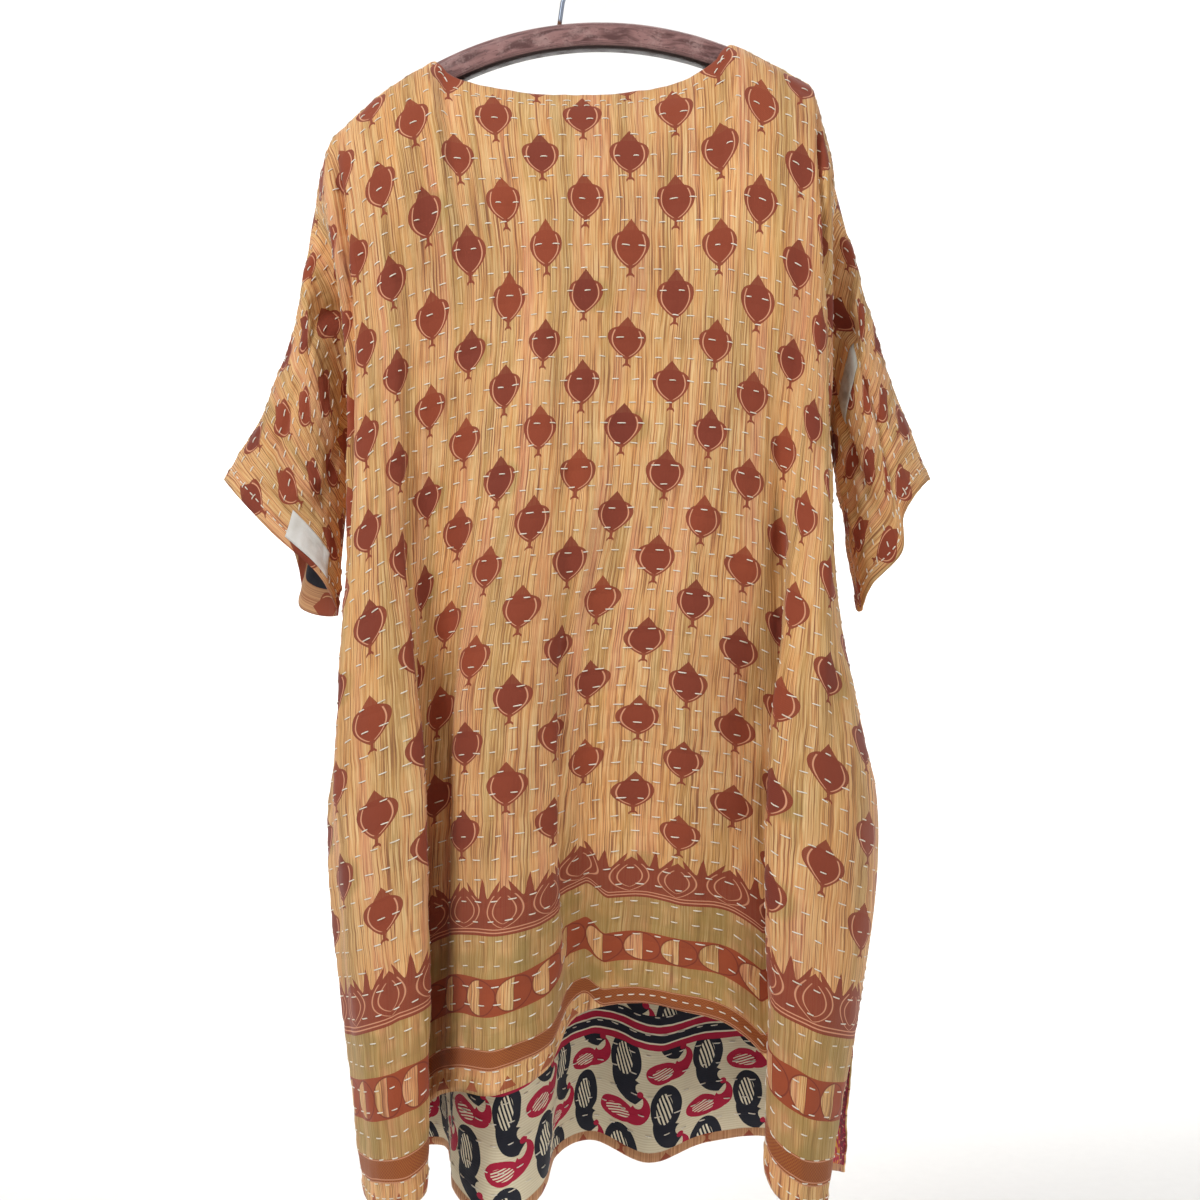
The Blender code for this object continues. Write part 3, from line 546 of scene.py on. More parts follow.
    def build(self, outer: bpy.types.Material, reverse: bpy.types.Material) -> bpy.types.Object:
        """Make the panel's mesh: the grid's cells, with the wall inside them and a UV map in metres.

        Args:
            outer: the finish of the face that shows.
            reverse: the finish of the inside.

        Returns:
            The finished piece.
        """
        corners = grid_faces(*self.points.shape[:2])
        middle = np.abs((self.u[:-1] + self.u[1:]) / 2) < HALF_BODY
        keep = np.ones(corners.shape[:2], bool)
        keep[~middle, self.yoke_rows:] = False
        faces = corners[keep]
        if self.side is Side.FRONT:
            faces = faces[:, ::-1]
        used, faces = np.unique(faces, return_inverse=True)
        faces = faces.reshape(-1, 4)
        piece = mesh_piece(self.name, self._parted().reshape(-1, 3)[used], faces)
        write_uv(piece, self.flat.reshape(-1, 2)[used], faces)
        piece.data.materials.append(outer)
        piece.data.materials.append(reverse)
        wall = add_wall(piece, CLOTH_THICKNESS, -1.0)
        wall.use_quality_normals = True
        wall.material_offset = 1
        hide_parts(self.node)
        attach(piece, BODY)
        cut = (self.cuffs[1] - self.cuffs[0], self.length)
        area = cut[0] * YOKE_DROP + 2 * HALF_BODY * (self.length - YOKE_DROP) - self.NECK_AREA
        return piece

    def places(self, u: Array, v: Array) -> tuple[Array, Array]:
        """Points and outward directions at any places of the cut.

        Each column is read at the wanted v, and the two columns on either side of u are mixed.

        Args:
            u, v: places in the cut, of one shape.

        Returns:
            The points and the directions, with a last axis of three.
        """
        wanted = np.clip(np.searchsorted(self.u, u) - 1, 0, len(self.u) - 2)
        mix = ((u - self.u[wanted]) / (self.u[wanted + 1] - self.u[wanted]))[..., None]
        found = [self._on_column(wanted + step, v) for step in (0, 1)]
        point = found[0][0] * (1 - mix) + found[1][0] * mix
        normal = found[0][1] * (1 - mix) + found[1][1] * mix
        return point, unit(normal)

    def _on_column(self, column: Array, v: Array) -> tuple[Array, Array]:
        """The cloth at v on each given column, mixed from the two grid points around it."""
        levels = self.flat[..., 1]
        row = np.clip((levels[column] < v[..., None]).sum(-1) - 1, 0, levels.shape[1] - 2)
        low, high = levels[column, row], levels[column, row + 1]
        mix = np.clip((v - low) / np.maximum(high - low, 1e-9), 0, 1)[..., None]
        return tuple(
            grid[column, row] * (1 - mix) + grid[column, row + 1] * mix
            for grid in (self.points, self.normals)
        )


def mesh_piece(name: str, points: Array, faces: Array) -> bpy.types.Object:
    """Make an object from points and faces, at the origin, shaded smooth.

    Args:
        name: the piece's name.
        points: one row of x, y, z for each vertex.
        faces: one row of vertex numbers for each face, all of one length.

    Returns:
        The new object, in the scene.
    """
    mesh = bpy.data.meshes.new(name)
    mesh.vertices.add(len(points))
    mesh.vertices.foreach_set("co", np.ascontiguousarray(points, np.float32).ravel())
    mesh.loops.add(faces.size)
    mesh.loops.foreach_set("vertex_index", np.ascontiguousarray(faces, np.int32).ravel())
    mesh.polygons.add(len(faces))
    starts = np.arange(len(faces), dtype=np.int32) * faces.shape[1]
    mesh.polygons.foreach_set("loop_start", starts)
    mesh.polygons.foreach_set("use_smooth", np.ones(len(faces), bool))
    mesh.update(calc_edges=True)
    mesh.validate()
    piece = bpy.data.objects.new(name, mesh)
    bpy.context.scene.collection.objects.link(piece)
    return piece


def write_uv(piece: bpy.types.Object, flat: Array, faces: Array) -> None:
    """Give the piece a UV map from the flat place of each vertex, in metres."""
    layer = piece.data.uv_layers.new(name="cut")
    layer.data.foreach_set("uv", np.ascontiguousarray(flat[faces.ravel()], np.float32).ravel())


def add_wall(piece: bpy.types.Object, thickness: float, offset: float) -> bpy.types.Modifier:
    """Give an open surface a wall, behind its faces for an offset of -1 and before them for 1."""
    wall = piece.modifiers.new("wall", "SOLIDIFY")
    wall.thickness = thickness
    wall.offset = offset
    return wall


def grid_faces(rows: int, columns: int) -> Array:
    """The cells of a grid of points, by row and column, as four vertex numbers each."""
    number = np.arange(rows * columns).reshape(rows, columns)
    return np.stack([number[:-1, :-1], number[1:, :-1], number[1:, 1:], number[:-1, 1:]], -1)


def tube_faces(count: int, stations: int, sides: int) -> Array:
    """Faces that join the rings of many tubes, each ring to the next, facing outwards.

    Args:
        count, stations, sides: tubes, rings in each, and points in each ring.

    Returns:
        One row of four vertex numbers for each face.
    """
    number = np.arange(count * stations * sides).reshape(count, stations, sides)
    after = np.roll(number, -1, axis=2)
    faces = np.stack([number[:, :-1], after[:, :-1], after[:, 1:], number[:, 1:]], -1)
    return faces.reshape(-1, 4)


def rings(path: Array, across: Array, up: Array, half_width: Array, half_height: Array, sides: int) -> Array:
    """Carry an ellipse along a path.

    A ring's point at angle a is path + across * half_width * cos(a) + up * half_height * sin(a).

    Args:
        path, across, up: points and unit directions, with a last axis of three.
        half_width, half_height: half sizes of the ellipse at each point of the path.
        sides: points in each ring.

    Returns:
        The rings, with one more axis than the path for the points of a ring.
    """
    angle = np.linspace(0, math.tau, sides, endpoint=False)[:, None]
    wide = across[..., None, :] * half_width[..., None, None] * np.cos(angle)
    high = up[..., None, :] * half_height[..., None, None] * np.sin(angle)
    return path[..., None, :] + wide + high


@dataclass
class StitchRows:
    """Rows of running stitches by hand: short flat dashes of thread whose ends dive into the cloth."""

    panel: ClothPanel
    face: Face = Face.OUTER
    pitch: float = STITCH_PITCH
    dash: float = 0.0078
    step: float = 0.0165
    thread: float = 0.00058
    lift: float = 0.00050
    bite: float = 0.0006
    sway: float = 0.0013
    stations: int = 5
    sides: int = 5
    seed: int = 5

    # The first row's v on the reverse, of which only the foot shows
    REVERSE_FROM = 0.74
    # Beside an edge: where a line of stitches starts and stops, one stitch's step and half length
    EDGE_START = 0.004
    EDGE_STEP = 0.0092
    EDGE_HALF = 0.0030
    # How far the lines lie from the edges of the cut
    NECK_INSET = 0.002
    NECK_BESIDE = 0.013
    CUFF_SHARE = 0.979
    CUFF_VS = (0.008, 0.234)
    SLIT_ABOVE = 0.06
    SLIT_BESIDE = 0.011
    SLIT_FOOT = 0.008
    HEM_INSET = 0.01
    HEM_BESIDE = 0.011
    # Dashes nearer than this to an edge are left out
    CLEAR_OF_SEAM = 0.004
    CLEAR_OF_HEM = 0.002
    CLEAR_OF_CUFF = 0.003

    def _row_centres(self, draw: np.random.Generator, v: float) -> Array:
        """The middles (u, v) and half lengths of the dashes of one row, with its slow sway."""
        left, right = self.panel.cuffs if v < YOKE_DROP else (-HALF_BODY, HALF_BODY)
        count = int((right - left) / self.step)
        u = left + (np.arange(count) + draw.uniform(0.2, 0.8)) * self.step
        u = u + draw.normal(0, 0.0010, count)
        wave = np.sin(u / draw.uniform(0.035, 0.060) + draw.uniform(0, math.tau))
        drift = np.sin(u / draw.uniform(0.09, 0.14) + draw.uniform(0, math.tau))
        half = self.dash * draw.uniform(0.38, 0.58, count)
        return np.stack([u, v + self.sway * (0.5 * wave + drift), half], axis=1)

    def dashes(self) -> Array:
        """The ends (u, v, u, v) of all the dashes that lie on cloth, along rows down the panel."""
        draw = np.random.default_rng(self.seed)
        first = 0.75 * self.pitch if self.face is Face.OUTER else self.REVERSE_FROM
        levels = np.arange(first, self.panel.length - 0.006, self.pitch)
        centres = np.concatenate([self._row_centres(draw, v) for v in levels])
        slope = draw.normal(0, 0.06, len(centres))
        run = np.stack([np.ones_like(slope), slope], axis=1) * centres[:, 2:3]
        return np.hstack([centres[:, :2] - run, centres[:, :2] + run])

    def topstitch(self, start: tuple[float, float], end: tuple[float, float]) -> Array:
        """Dashes along a straight line of the cut, such as beside a hem."""
        length = math.dist(start, end)
        at = np.arange(self.EDGE_START, length - self.EDGE_START, self.EDGE_STEP) / length
        whole = np.array(end) - np.array(start)
        line = np.array(start) + whole * at[:, None]
        run = whole * (self.EDGE_HALF / length)
        return np.hstack([line - run, line + run])

    def edging(self) -> Array:
        """Dashes beside every free edge: the neck, the cuffs, the side slits and the hem."""
        panel = self.panel
        across = np.linspace(-HALF_NECK + self.NECK_INSET, HALF_NECK - self.NECK_INSET, 15)
        neck = list(zip(across, np.interp(across, panel.u, panel.flat[:, 0, 1]) + self.NECK_BESIDE))
        lines = list(zip(neck, neck[1:]))
        lines += [tuple((cuff * self.CUFF_SHARE, v) for v in self.CUFF_VS) for cuff in panel.cuffs]
        slit = YOKE_DROP + SLIT_LEVEL * (panel.length - YOKE_DROP) - self.SLIT_ABOVE
        for side in (-HALF_BODY + self.SLIT_BESIDE, HALF_BODY - self.SLIT_BESIDE):
            lines.append(((side, slit), (side, panel.length - self.SLIT_FOOT)))
        hem, end = panel.length - self.HEM_BESIDE, HALF_BODY - self.HEM_INSET
        lines.append(((-end, hem), (end, hem)))
        return np.concatenate([self.topstitch(*line) for line in lines])

    def _on_cloth(self, line: Array) -> Array:
        """Which dashes keep clear of every edge and seam, given the places (u, v) along each."""
        panel, (u, v) = self.panel, (line[..., 0], line[..., 1])
        inside = (v > np.interp(u, panel.u, panel.flat[:, 0, 1]) + self.CLEAR_OF_SEAM)
        inside &= v < panel.length - self.CLEAR_OF_HEM
        inside &= (np.abs(u) <= HALF_BODY - self.CLEAR_OF_SEAM) | (v <= YOKE_DROP - self.CLEAR_OF_SEAM)
        inside &= (u > panel.cuffs[0] + self.CLEAR_OF_CUFF) & (u < panel.cuffs[1] - self.CLEAR_OF_CUFF)
        return inside.all(axis=1)

    def build(self, name: str, dashes: Array, material: bpy.types.Material) -> bpy.types.Object:
        """Make all the dashes as one mesh.

        A dash is an ellipse carried along the cloth. Its height over the cloth is
        lift - (lift + bite) t^4, for t from -1 to 1 along the dash.

        Args:
            name: the piece's name.
            dashes: ends in the cut, as `dashes` and `topstitch` give them.
            material: the thread's finish.

        Returns:
            The finished piece.
        """
        share = np.linspace(0, 1, self.stations)
        line = dashes[:, None, :2] * (1 - share[:, None]) + dashes[:, None, 2:] * share[:, None]
        line = line[self._on_cloth(line)]
        point, normal = self.panel.places(line[..., 0], line[..., 1])
        if self.face is Face.REVERSE:
            point, normal = point - normal * CLOTH_THICKNESS, -normal
        along = unit(np.gradient(point, axis=1))
        across = unit(np.cross(along, normal))
        t = 2 * share - 1
        path = point + normal * (self.lift - (self.lift + self.bite) * t**4)[None, :, None]
        wide = np.broadcast_to(self.thread * (1 - 0.35 * t**4), path.shape[:2])
        ring = rings(path, across, np.cross(across, along), wide, wide * 0.8, self.sides)
        piece = mesh_piece(name, ring.reshape(-1, 3), tube_faces(len(line), self.stations, self.sides))
        close_ends(piece)
        piece.data.materials.append(material)
        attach(piece, BODY)
        return piece


def close_ends(piece: bpy.types.Object) -> None:
    """Close every open ring with a face, and turn all the faces outwards."""
    work = bmesh.new()
    work.from_mesh(piece.data)
    bmesh.ops.holes_fill(work, edges=work.edges, sides=0)
    bmesh.ops.recalc_face_normals(work, faces=work.faces)
    for face in work.faces:
        face.smooth = True
    work.to_mesh(piece.data)
    work.free()


def srgb(red: float, green: float, blue: float) -> Color:
    """Turn a screen colour, 0 to 255, into the linear numbers that shaders use."""
    share = np.array([red, green, blue]) / 255
    linear = np.where(share <= 0.04045, share / 12.92, ((share + 0.055) / 1.055) ** 2.4)
    return tuple(float(value) for value in linear)


@dataclass(frozen=True)
class Value:
    """A number or colour that changes over a surface. Arithmetic on it adds Math nodes."""

    graph: "Graph"
    socket: bpy.types.NodeSocket

    def __add__(self, other: "Value | float") -> "Value":
        """This plus another."""
        return self.graph.math("ADD", self, other)

    def __sub__(self, other: "Value | float") -> "Value":
        """This less another."""
        return self.graph.math("SUBTRACT", self, other)

    def __rsub__(self, other: float) -> "Value":
        """A number less this."""
        return self.graph.math("SUBTRACT", other, self)

    def __mul__(self, other: "Value | float") -> "Value":
        """This times another."""
        return self.graph.math("MULTIPLY", self, other)

    def __truediv__(self, other: "Value | float") -> "Value":
        """This divided by another."""
        return self.graph.math("DIVIDE", self, other)

    def __pow__(self, other: float) -> "Value":
        """This to a power, taken as 0 where it is below 0."""
        return self.graph.math("POWER", self.graph.math("MAXIMUM", self, 0.0), other)

    def __gt__(self, other: "Value | float") -> "Value":
        """1 where this is the greater, 0 elsewhere."""
        return self.graph.math("GREATER_THAN", self, other)

    def __lt__(self, other: "Value | float") -> "Value":
        """1 where this is the less, 0 elsewhere."""
        return self.graph.math("LESS_THAN", self, other)

    def size(self) -> "Value":
        """Its distance from 0."""
        return self.graph.math("ABSOLUTE", self)

    def floor(self) -> "Value":
        """The whole number below it."""
        return self.graph.math("FLOOR", self)

    def fract(self) -> "Value":
        """What is over the whole number below it."""
        return self.graph.math("FRACT", self)

    def sine(self) -> "Value":
        """Its sine."""
        return self.graph.math("SINE", self)

    def within(self, low: float, high: float) -> "Value":
        """1 between two numbers, 0 elsewhere."""
        return (self > low) * (self < high)

    def repeat(self, period: float) -> "Value":
        """Its distance from the nearest whole multiple of a period, from -period/2 to period/2."""
        return ((self / period + 0.5).fract() - 0.5) * period

    def rise(self, low: float, high: float) -> "Value":
        """0 up to one number, 1 from the other on, and a smooth step between them."""
        node = self.graph.node("ShaderNodeMapRange", interpolation_type="SMOOTHSTEP")
        node.inputs["From Min"].default_value = low
        node.inputs["From Max"].default_value = high
        self.graph.join(self, node.inputs["Value"])
        return Value(self.graph, node.outputs["Result"])


class Graph:
    """Adds nodes to one tree and joins them up."""

    def __init__(self, tree: bpy.types.NodeTree) -> None:
        """Work on the given tree."""
        self.tree = tree

    def node(self, kind: str, **settings: object) -> bpy.types.Node:
        """A new node of a kind, with its settings."""
        made = self.tree.nodes.new(kind)
        for name, value in settings.items():
            setattr(made, name, value)
        return made

    def join(self, value: Value | float | Color, socket: bpy.types.NodeSocket) -> None:
        """Feed a socket from a value, or set it to a number or a colour."""
        if isinstance(value, Value):
            self.tree.links.new(value.socket, socket)
        elif isinstance(value, tuple):
            socket.default_value = (*value, 1.0) if len(socket.default_value) == 4 else value
        else:
            socket.default_value = value

    def math(self, operation: str, *values: Value | float) -> Value:
        """One Math node on one or two values."""
        made = self.node("ShaderNodeMath", operation=operation)
        for value, socket in zip(values, made.inputs):
            self.join(value, socket)
        return Value(self, made.outputs[0])

    def either(self, *masks: Value) -> Value:
        """The greatest of several values: a place is in the result if it is in any mask."""
        total = masks[0]
        for mask in masks[1:]:
            total = self.math("MAXIMUM", total, mask)
        return total

    def pair(self, x: Value | float, y: Value | float, z: Value | float = 0.0) -> Value:
        """A vector of two or three numbers."""
        made = self.node("ShaderNodeCombineXYZ")
        for value, socket in zip((x, y, z), made.inputs):
            self.join(value, socket)
        return Value(self, made.outputs[0])

    def split(self, vector: Value) -> tuple[Value, Value, Value]:
        """The three numbers of a vector."""
        made = self.node("ShaderNodeSeparateXYZ")
        self.join(vector, made.inputs[0])
        return tuple(Value(self, socket) for socket in made.outputs)

    def noise(self, vector: Value, detail: float = 1.0) -> Value:
        """Soft noise from 0 to 1, one rise or so to each whole number of the vector."""
        made = self.node("ShaderNodeTexNoise")
        self.join(vector, made.inputs["Vector"])
        made.inputs["Scale"].default_value = 1.0
        made.inputs["Detail"].default_value = detail
        return Value(self, made.outputs["Fac"])

    def chance(self, vector: Value) -> Value:
        """A number from 0 to 1 that depends only on the vector, with no link to its neighbours'."""
        made = self.node("ShaderNodeTexWhiteNoise", noise_dimensions="3D")
        self.join(vector, made.inputs["Vector"])
        return Value(self, made.outputs["Value"])

    def mix(self, mask: Value | float, below: Value | Color, above: Value | Color) -> Value:
        """The colour below, covered by the colour above where the mask is 1."""
        made = self.node("ShaderNodeMix", data_type="RGBA")
        self.join(mask, made.inputs[0])
        self.join(below, made.inputs[6])
        self.join(above, made.inputs[7])
        return Value(self, made.outputs[2])

    def ramp(self, factor: Value, stops: Sequence[tuple[float, Color]]) -> Value:
        """Colours that change along a number, from stop to stop."""
        made = self.node("ShaderNodeValToRGB")
        elements = made.color_ramp.elements
        while len(elements) < len(stops):
            elements.new(1.0)
        for element, (place, color) in zip(elements, stops):
            element.position = place
            element.color = (*color, 1.0)
        self.join(factor, made.inputs[0])
        return Value(self, made.outputs[0])

    def shade(self, color: Value, amount: Value) -> Value:
        """A colour made lighter or darker: every part of it times a number."""
        made = self.node("ShaderNodeVectorMath", operation="SCALE")
        self.join(color, made.inputs[0])
        self.join(amount, made.inputs["Scale"])
        return Value(self, made.outputs[0])

    def use(self, group: bpy.types.NodeTree, **values: Value | float) -> dict[str, Value]:
        """Place a group, feed its inputs by name, and give back its outputs by name."""
        made = self.node("ShaderNodeGroup", node_tree=group)
        for name, value in values.items():
            self.join(value, made.inputs[name])
        return {socket.name: Value(self, socket) for socket in made.outputs}


class Group:
    """A shader node group: one effect with named inputs and outputs, shared by materials."""

    def __init__(self, name: str, inputs: dict[str, float], outputs: dict[str, str]) -> None:
        """Make the group's tree and its sockets.

        Args:
            name: the group's name.
            inputs: the default of each number that goes in, by name.
            outputs: the type of each result, by name: "Float" or "Color".
        """
        self.tree = bpy.data.node_groups.new(name, "ShaderNodeTree")
        for label, default in inputs.items():
            socket = self.tree.interface.new_socket(label, in_out="INPUT", socket_type="NodeSocketFloat")
            socket.default_value = default
        for label, kind in outputs.items():
            self.tree.interface.new_socket(label, in_out="OUTPUT", socket_type=f"NodeSocket{kind}")
        self.graph = Graph(self.tree)
        start = self.graph.node("NodeGroupInput")
        self.inputs = {label: Value(self.graph, start.outputs[label]) for label in inputs}
        self._end = self.graph.node("NodeGroupOutput")

    def give(self, **results: Value) -> bpy.types.NodeTree:
        """Feed the outputs by name, and give back the finished tree."""
        for label, value in results.items():
            self.graph.join(value, self._end.inputs[label])
        return self.tree


def slub_weave() -> bpy.types.NodeTree:
    """Uneven threads down the cloth: slow stripes, thin stripes, single threads and cross ribs.

    Each is soft noise in (u, v), stretched along v; the ribs are a sine along v.
    """
    group = Group(
        "slub weave", {"U": 0.0, "V": 0.0},
        {"Tone": "Float", "Stripe": "Float", "Thread": "Float", "Height": "Float"},
    )
    graph, u, v = group.graph, group.inputs["U"], group.inputs["V"]
    tone = graph.noise(graph.pair(u * 46.0, v * 3.0), 2.0)
    stripe = graph.noise(graph.pair(u * 640.0, v * 4.0), 2.0)
    thread = graph.noise(graph.pair(u * 1500.0, v * 22.0, 3.0), 1.0)
    rib = (v * 4600.0).sine() * 0.5 + 0.5
    height = thread * 0.6 + stripe * 0.5 + rib * 0.12
    return group.give(Tone=tone, Stripe=stripe, Thread=thread, Height=height)


def quilt_puckers() -> bpy.types.NodeTree:
    """The relief that rows of hand stitches pull up: low on each row, and small ripples across it.

    Height is |sin(pi v / pitch)| less soft noise that is stretched along v.
    """
    group = Group("quilt puckers", {"U": 0.0, "V": 0.0, "Pitch": STITCH_PITCH}, {"Height": "Float"})
    graph, u, v = group.graph, group.inputs["U"], group.inputs["V"]
    row = (v * math.pi / group.inputs["Pitch"]).sine().size() ** 0.6
    ripple = graph.noise(graph.pair(u * 125.0, v * 62.0), 2.0)
    slow = graph.noise(graph.pair(u * 38.0, v * 22.0, 4.0), 1.0)
    return group.give(Height=row * 0.35 + ripple * 0.85 + slow * 0.8)


@dataclass(frozen=True)
class SewnPatch:
    """A small flat piece of cloth sewn on the front, between two places of the cut each way."""

    name: str
    node: str
    slot: str
    panel: ClothPanel
    corners: tuple[tuple[float, float], ...]
    size: tuple[float, float]
    thickness: float
    gap: float = 0.0004
    swell: float = 0.0004
    edge: float = 0.10
    steps: tuple[int, int] = (16, 32)

    def build(self, material: bpy.types.Material) -> bpy.types.Object:
        """Make the piece: its corners mixed across a grid, laid on the panel, with a wall.

        Args:
            material: its finish.

        Returns:
            The finished piece.
        """
        a, b = np.meshgrid(*(np.linspace(0, 1, count) for count in self.steps), indexing="ij")
        a, b = a[..., None], b[..., None]
        corner = [np.array(each) for each in self.corners]
        top = corner[0] * (1 - a) + corner[1] * a
        bottom = corner[3] * (1 - a) + corner[2] * a
        flat = top * (1 - b) + bottom * b
        point, normal = self.panel.places(flat[..., 0], flat[..., 1])
        inside = np.minimum(np.minimum(a, 1 - a), np.minimum(b, 1 - b))
        point = point + normal * (self.gap + self.swell * ease(inside / self.edge))
        faces = grid_faces(*self.steps)[..., [0, 3, 2, 1]].reshape(-1, 4)
        piece = mesh_piece(self.name, point.reshape(-1, 3), faces)
        write_uv(piece, flat.reshape(-1, 2), faces)
        turn_outward(piece, normal.reshape(-1, 3).mean(axis=0))
        piece.data.materials.append(material)
        add_wall(piece, self.thickness, 1.0)
        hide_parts(self.node)
        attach(piece, BODY)
        return piece


def turn_outward(piece: bpy.types.Object, outward: Array) -> None:
    """Turn an open surface over if its faces look away from a direction."""
    normals = np.empty(len(piece.data.polygons) * 3, np.float32)
    piece.data.polygons.foreach_get("normal", normals)
    if (normals.reshape(-1, 3) @ outward).sum() < 0:
        piece.data.flip_normals()


@dataclass
class Hanger:
    """The bowed wooden hanger and its wire hook, whose seat is the origin."""

    height: float = 0.024
    depth: float = 0.020
    rounding: float = 0.0065
    degrees: tuple[float, float] = (-49.0, 36.0)
    wire: float = 0.0020
    hook_radius: float = 0.0215
    hook_degrees: tuple[float, float] = (-62.0, 203.0)
    foot: tuple[float, float] = (-0.0056, -0.0870)
    lean: tuple[float, float] = (0.14, 0.99)
    shank: float = 0.036
    bar_mesh: tuple[int, int] = (180, 40)
    wire_sides: int = 16

    # The length over which the bar's ends are drawn in, and the least square of their share
    DOME = 0.008
    LEAST = 0.0004
    # The hook's bend into its circle, against the straight way, and its tapered ends
    BEND_REACH = 1.1
    TAPER = 0.55
    ARC_POINTS, BEND_POINTS, SHANK_POINTS = 60, 16, 10

    def _section(self, sides: int) -> Array:
        """A rounded rectangle as points (outward, sideways): four quarter circles at its corners."""
        angle = np.linspace(0, math.tau, sides, endpoint=False) + math.pi / sides
        ray = np.stack([np.cos(angle), np.sin(angle)], axis=1)
        middle = np.array([self.height / 2, self.depth / 2]) - self.rounding
        return np.sign(ray) * middle + ray * self.rounding

    def build_bar(self, material: bpy.types.Material) -> bpy.types.Object:
        """Make the bar: a rounded rectangle carried round an arc, drawn in to a dome at each end.

        Args:
            material: the wood.

        Returns:
            The finished piece. Its UV map is (length along the bow, way round it), in metres.
        """
        stations, sides = self.bar_mesh
        angle = np.radians(np.linspace(*self.degrees, stations))
        arc = angle * BOW_RADIUS
        end = np.minimum(arc - arc[0], arc[-1] - arc)
        full = np.sqrt(np.clip(1 - (1 - np.clip(end / self.DOME, 0, 1)) ** 2, self.LEAST, 1))
        ray = np.stack([np.sin(angle), np.zeros(stations), np.cos(angle)], axis=1)
        centre = np.array([BOW_CENTRE_X, 0.0, RIDGE_CENTRE_Z]) + ray * (BOW_RADIUS - self.height / 2)
        section = self._section(sides)
        outward = ray[:, None] * (section[:, 0] * full[:, None])[..., None]
        sideways = np.array([0.0, 1.0, 0.0]) * (section[:, 1] * full[:, None])[..., None]
        ring = centre[:, None] + outward + sideways
        faces = tube_faces(1, stations, sides)
        piece = mesh_piece("hanger_wood", ring.reshape(-1, 3), faces)
        round_it = np.arange(sides) * 2 * (self.height + self.depth) / sides
        flat = np.stack(np.meshgrid(arc, round_it, indexing="ij"), axis=-1)
        write_uv(piece, flat.reshape(-1, 2), faces)
        close_ends(piece)
        piece.data.materials.append(material)
        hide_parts("hanger_bar")
        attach(piece, BODY)
        return piece

    def build_hook(self, material: bpy.types.Material) -> bpy.types.Object:
        """Make the hook: a circle carried up out of the bar, through a short bend and round the seat.

        Args:
            material: the wire.

        Returns:
            The finished piece.
        """
        lean = np.array(self.lean) / np.hypot(*self.lean)
        foot = np.array(self.foot)
        top = foot + lean * self.shank
        angle = np.radians(np.linspace(*self.hook_degrees, self.ARC_POINTS))
        centre = np.array([0.0, self.wire - self.hook_radius])
        arc = centre + self.hook_radius * np.stack([np.cos(angle), np.sin(angle)], axis=1)
        heading = np.array([-math.sin(angle[0]), math.cos(angle[0])])
        reach = np.linalg.norm(arc[0] - top) * self.BEND_REACH
        on_bend = np.linspace(0, 1, self.BEND_POINTS)[:-1, None]
        bend = hermite(top, arc[0], lean * reach, heading * reach, on_bend)
        straight = foot + (top - foot) * np.linspace(0, 1, self.SHANK_POINTS)[:-1, None]
        flat = np.concatenate([straight, bend, arc])
        path = np.stack([flat[:, 0], np.zeros(len(flat)), flat[:, 1]], axis=1)
        along = unit(np.gradient(path, axis=0))
        side = np.broadcast_to([0.0, 1.0, 0.0], path.shape)
        radius = np.full(len(path), self.wire)
        radius[[0, -1]] = self.wire * self.TAPER
        ring = rings(path, side, np.cross(side, along), radius, radius, self.wire_sides)
        faces = tube_faces(1, len(path), self.wire_sides)
        piece = mesh_piece("hanger_wire", ring.reshape(-1, 3), faces)
        close_ends(piece)
        piece.data.materials.append(material)
        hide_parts("hanger_hook")
        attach(piece, BODY)
        return piece


@dataclass(frozen=True)
class SoftLight:
    """A large round light: its place, width and power, and the place that it looks at."""

    name: str
    place: Place
    width: float
    power: float
    aim: Place = (0.0333, 0.0, -0.55)

    def build(self) -> None:
        """Add the light to the scene."""
        lamp = bpy.data.lights.new(self.name, "AREA")
        lamp.shape = "DISK"
        lamp.size = self.width
        lamp.energy = self.power
        made = bpy.data.objects.new(self.name, lamp)
        made.location = self.place
        toward = Vector(self.aim) - Vector(self.place)
        made.rotation_euler = toward.to_track_quat("-Z", "Y").to_euler()
        bpy.context.scene.collection.objects.link(made)


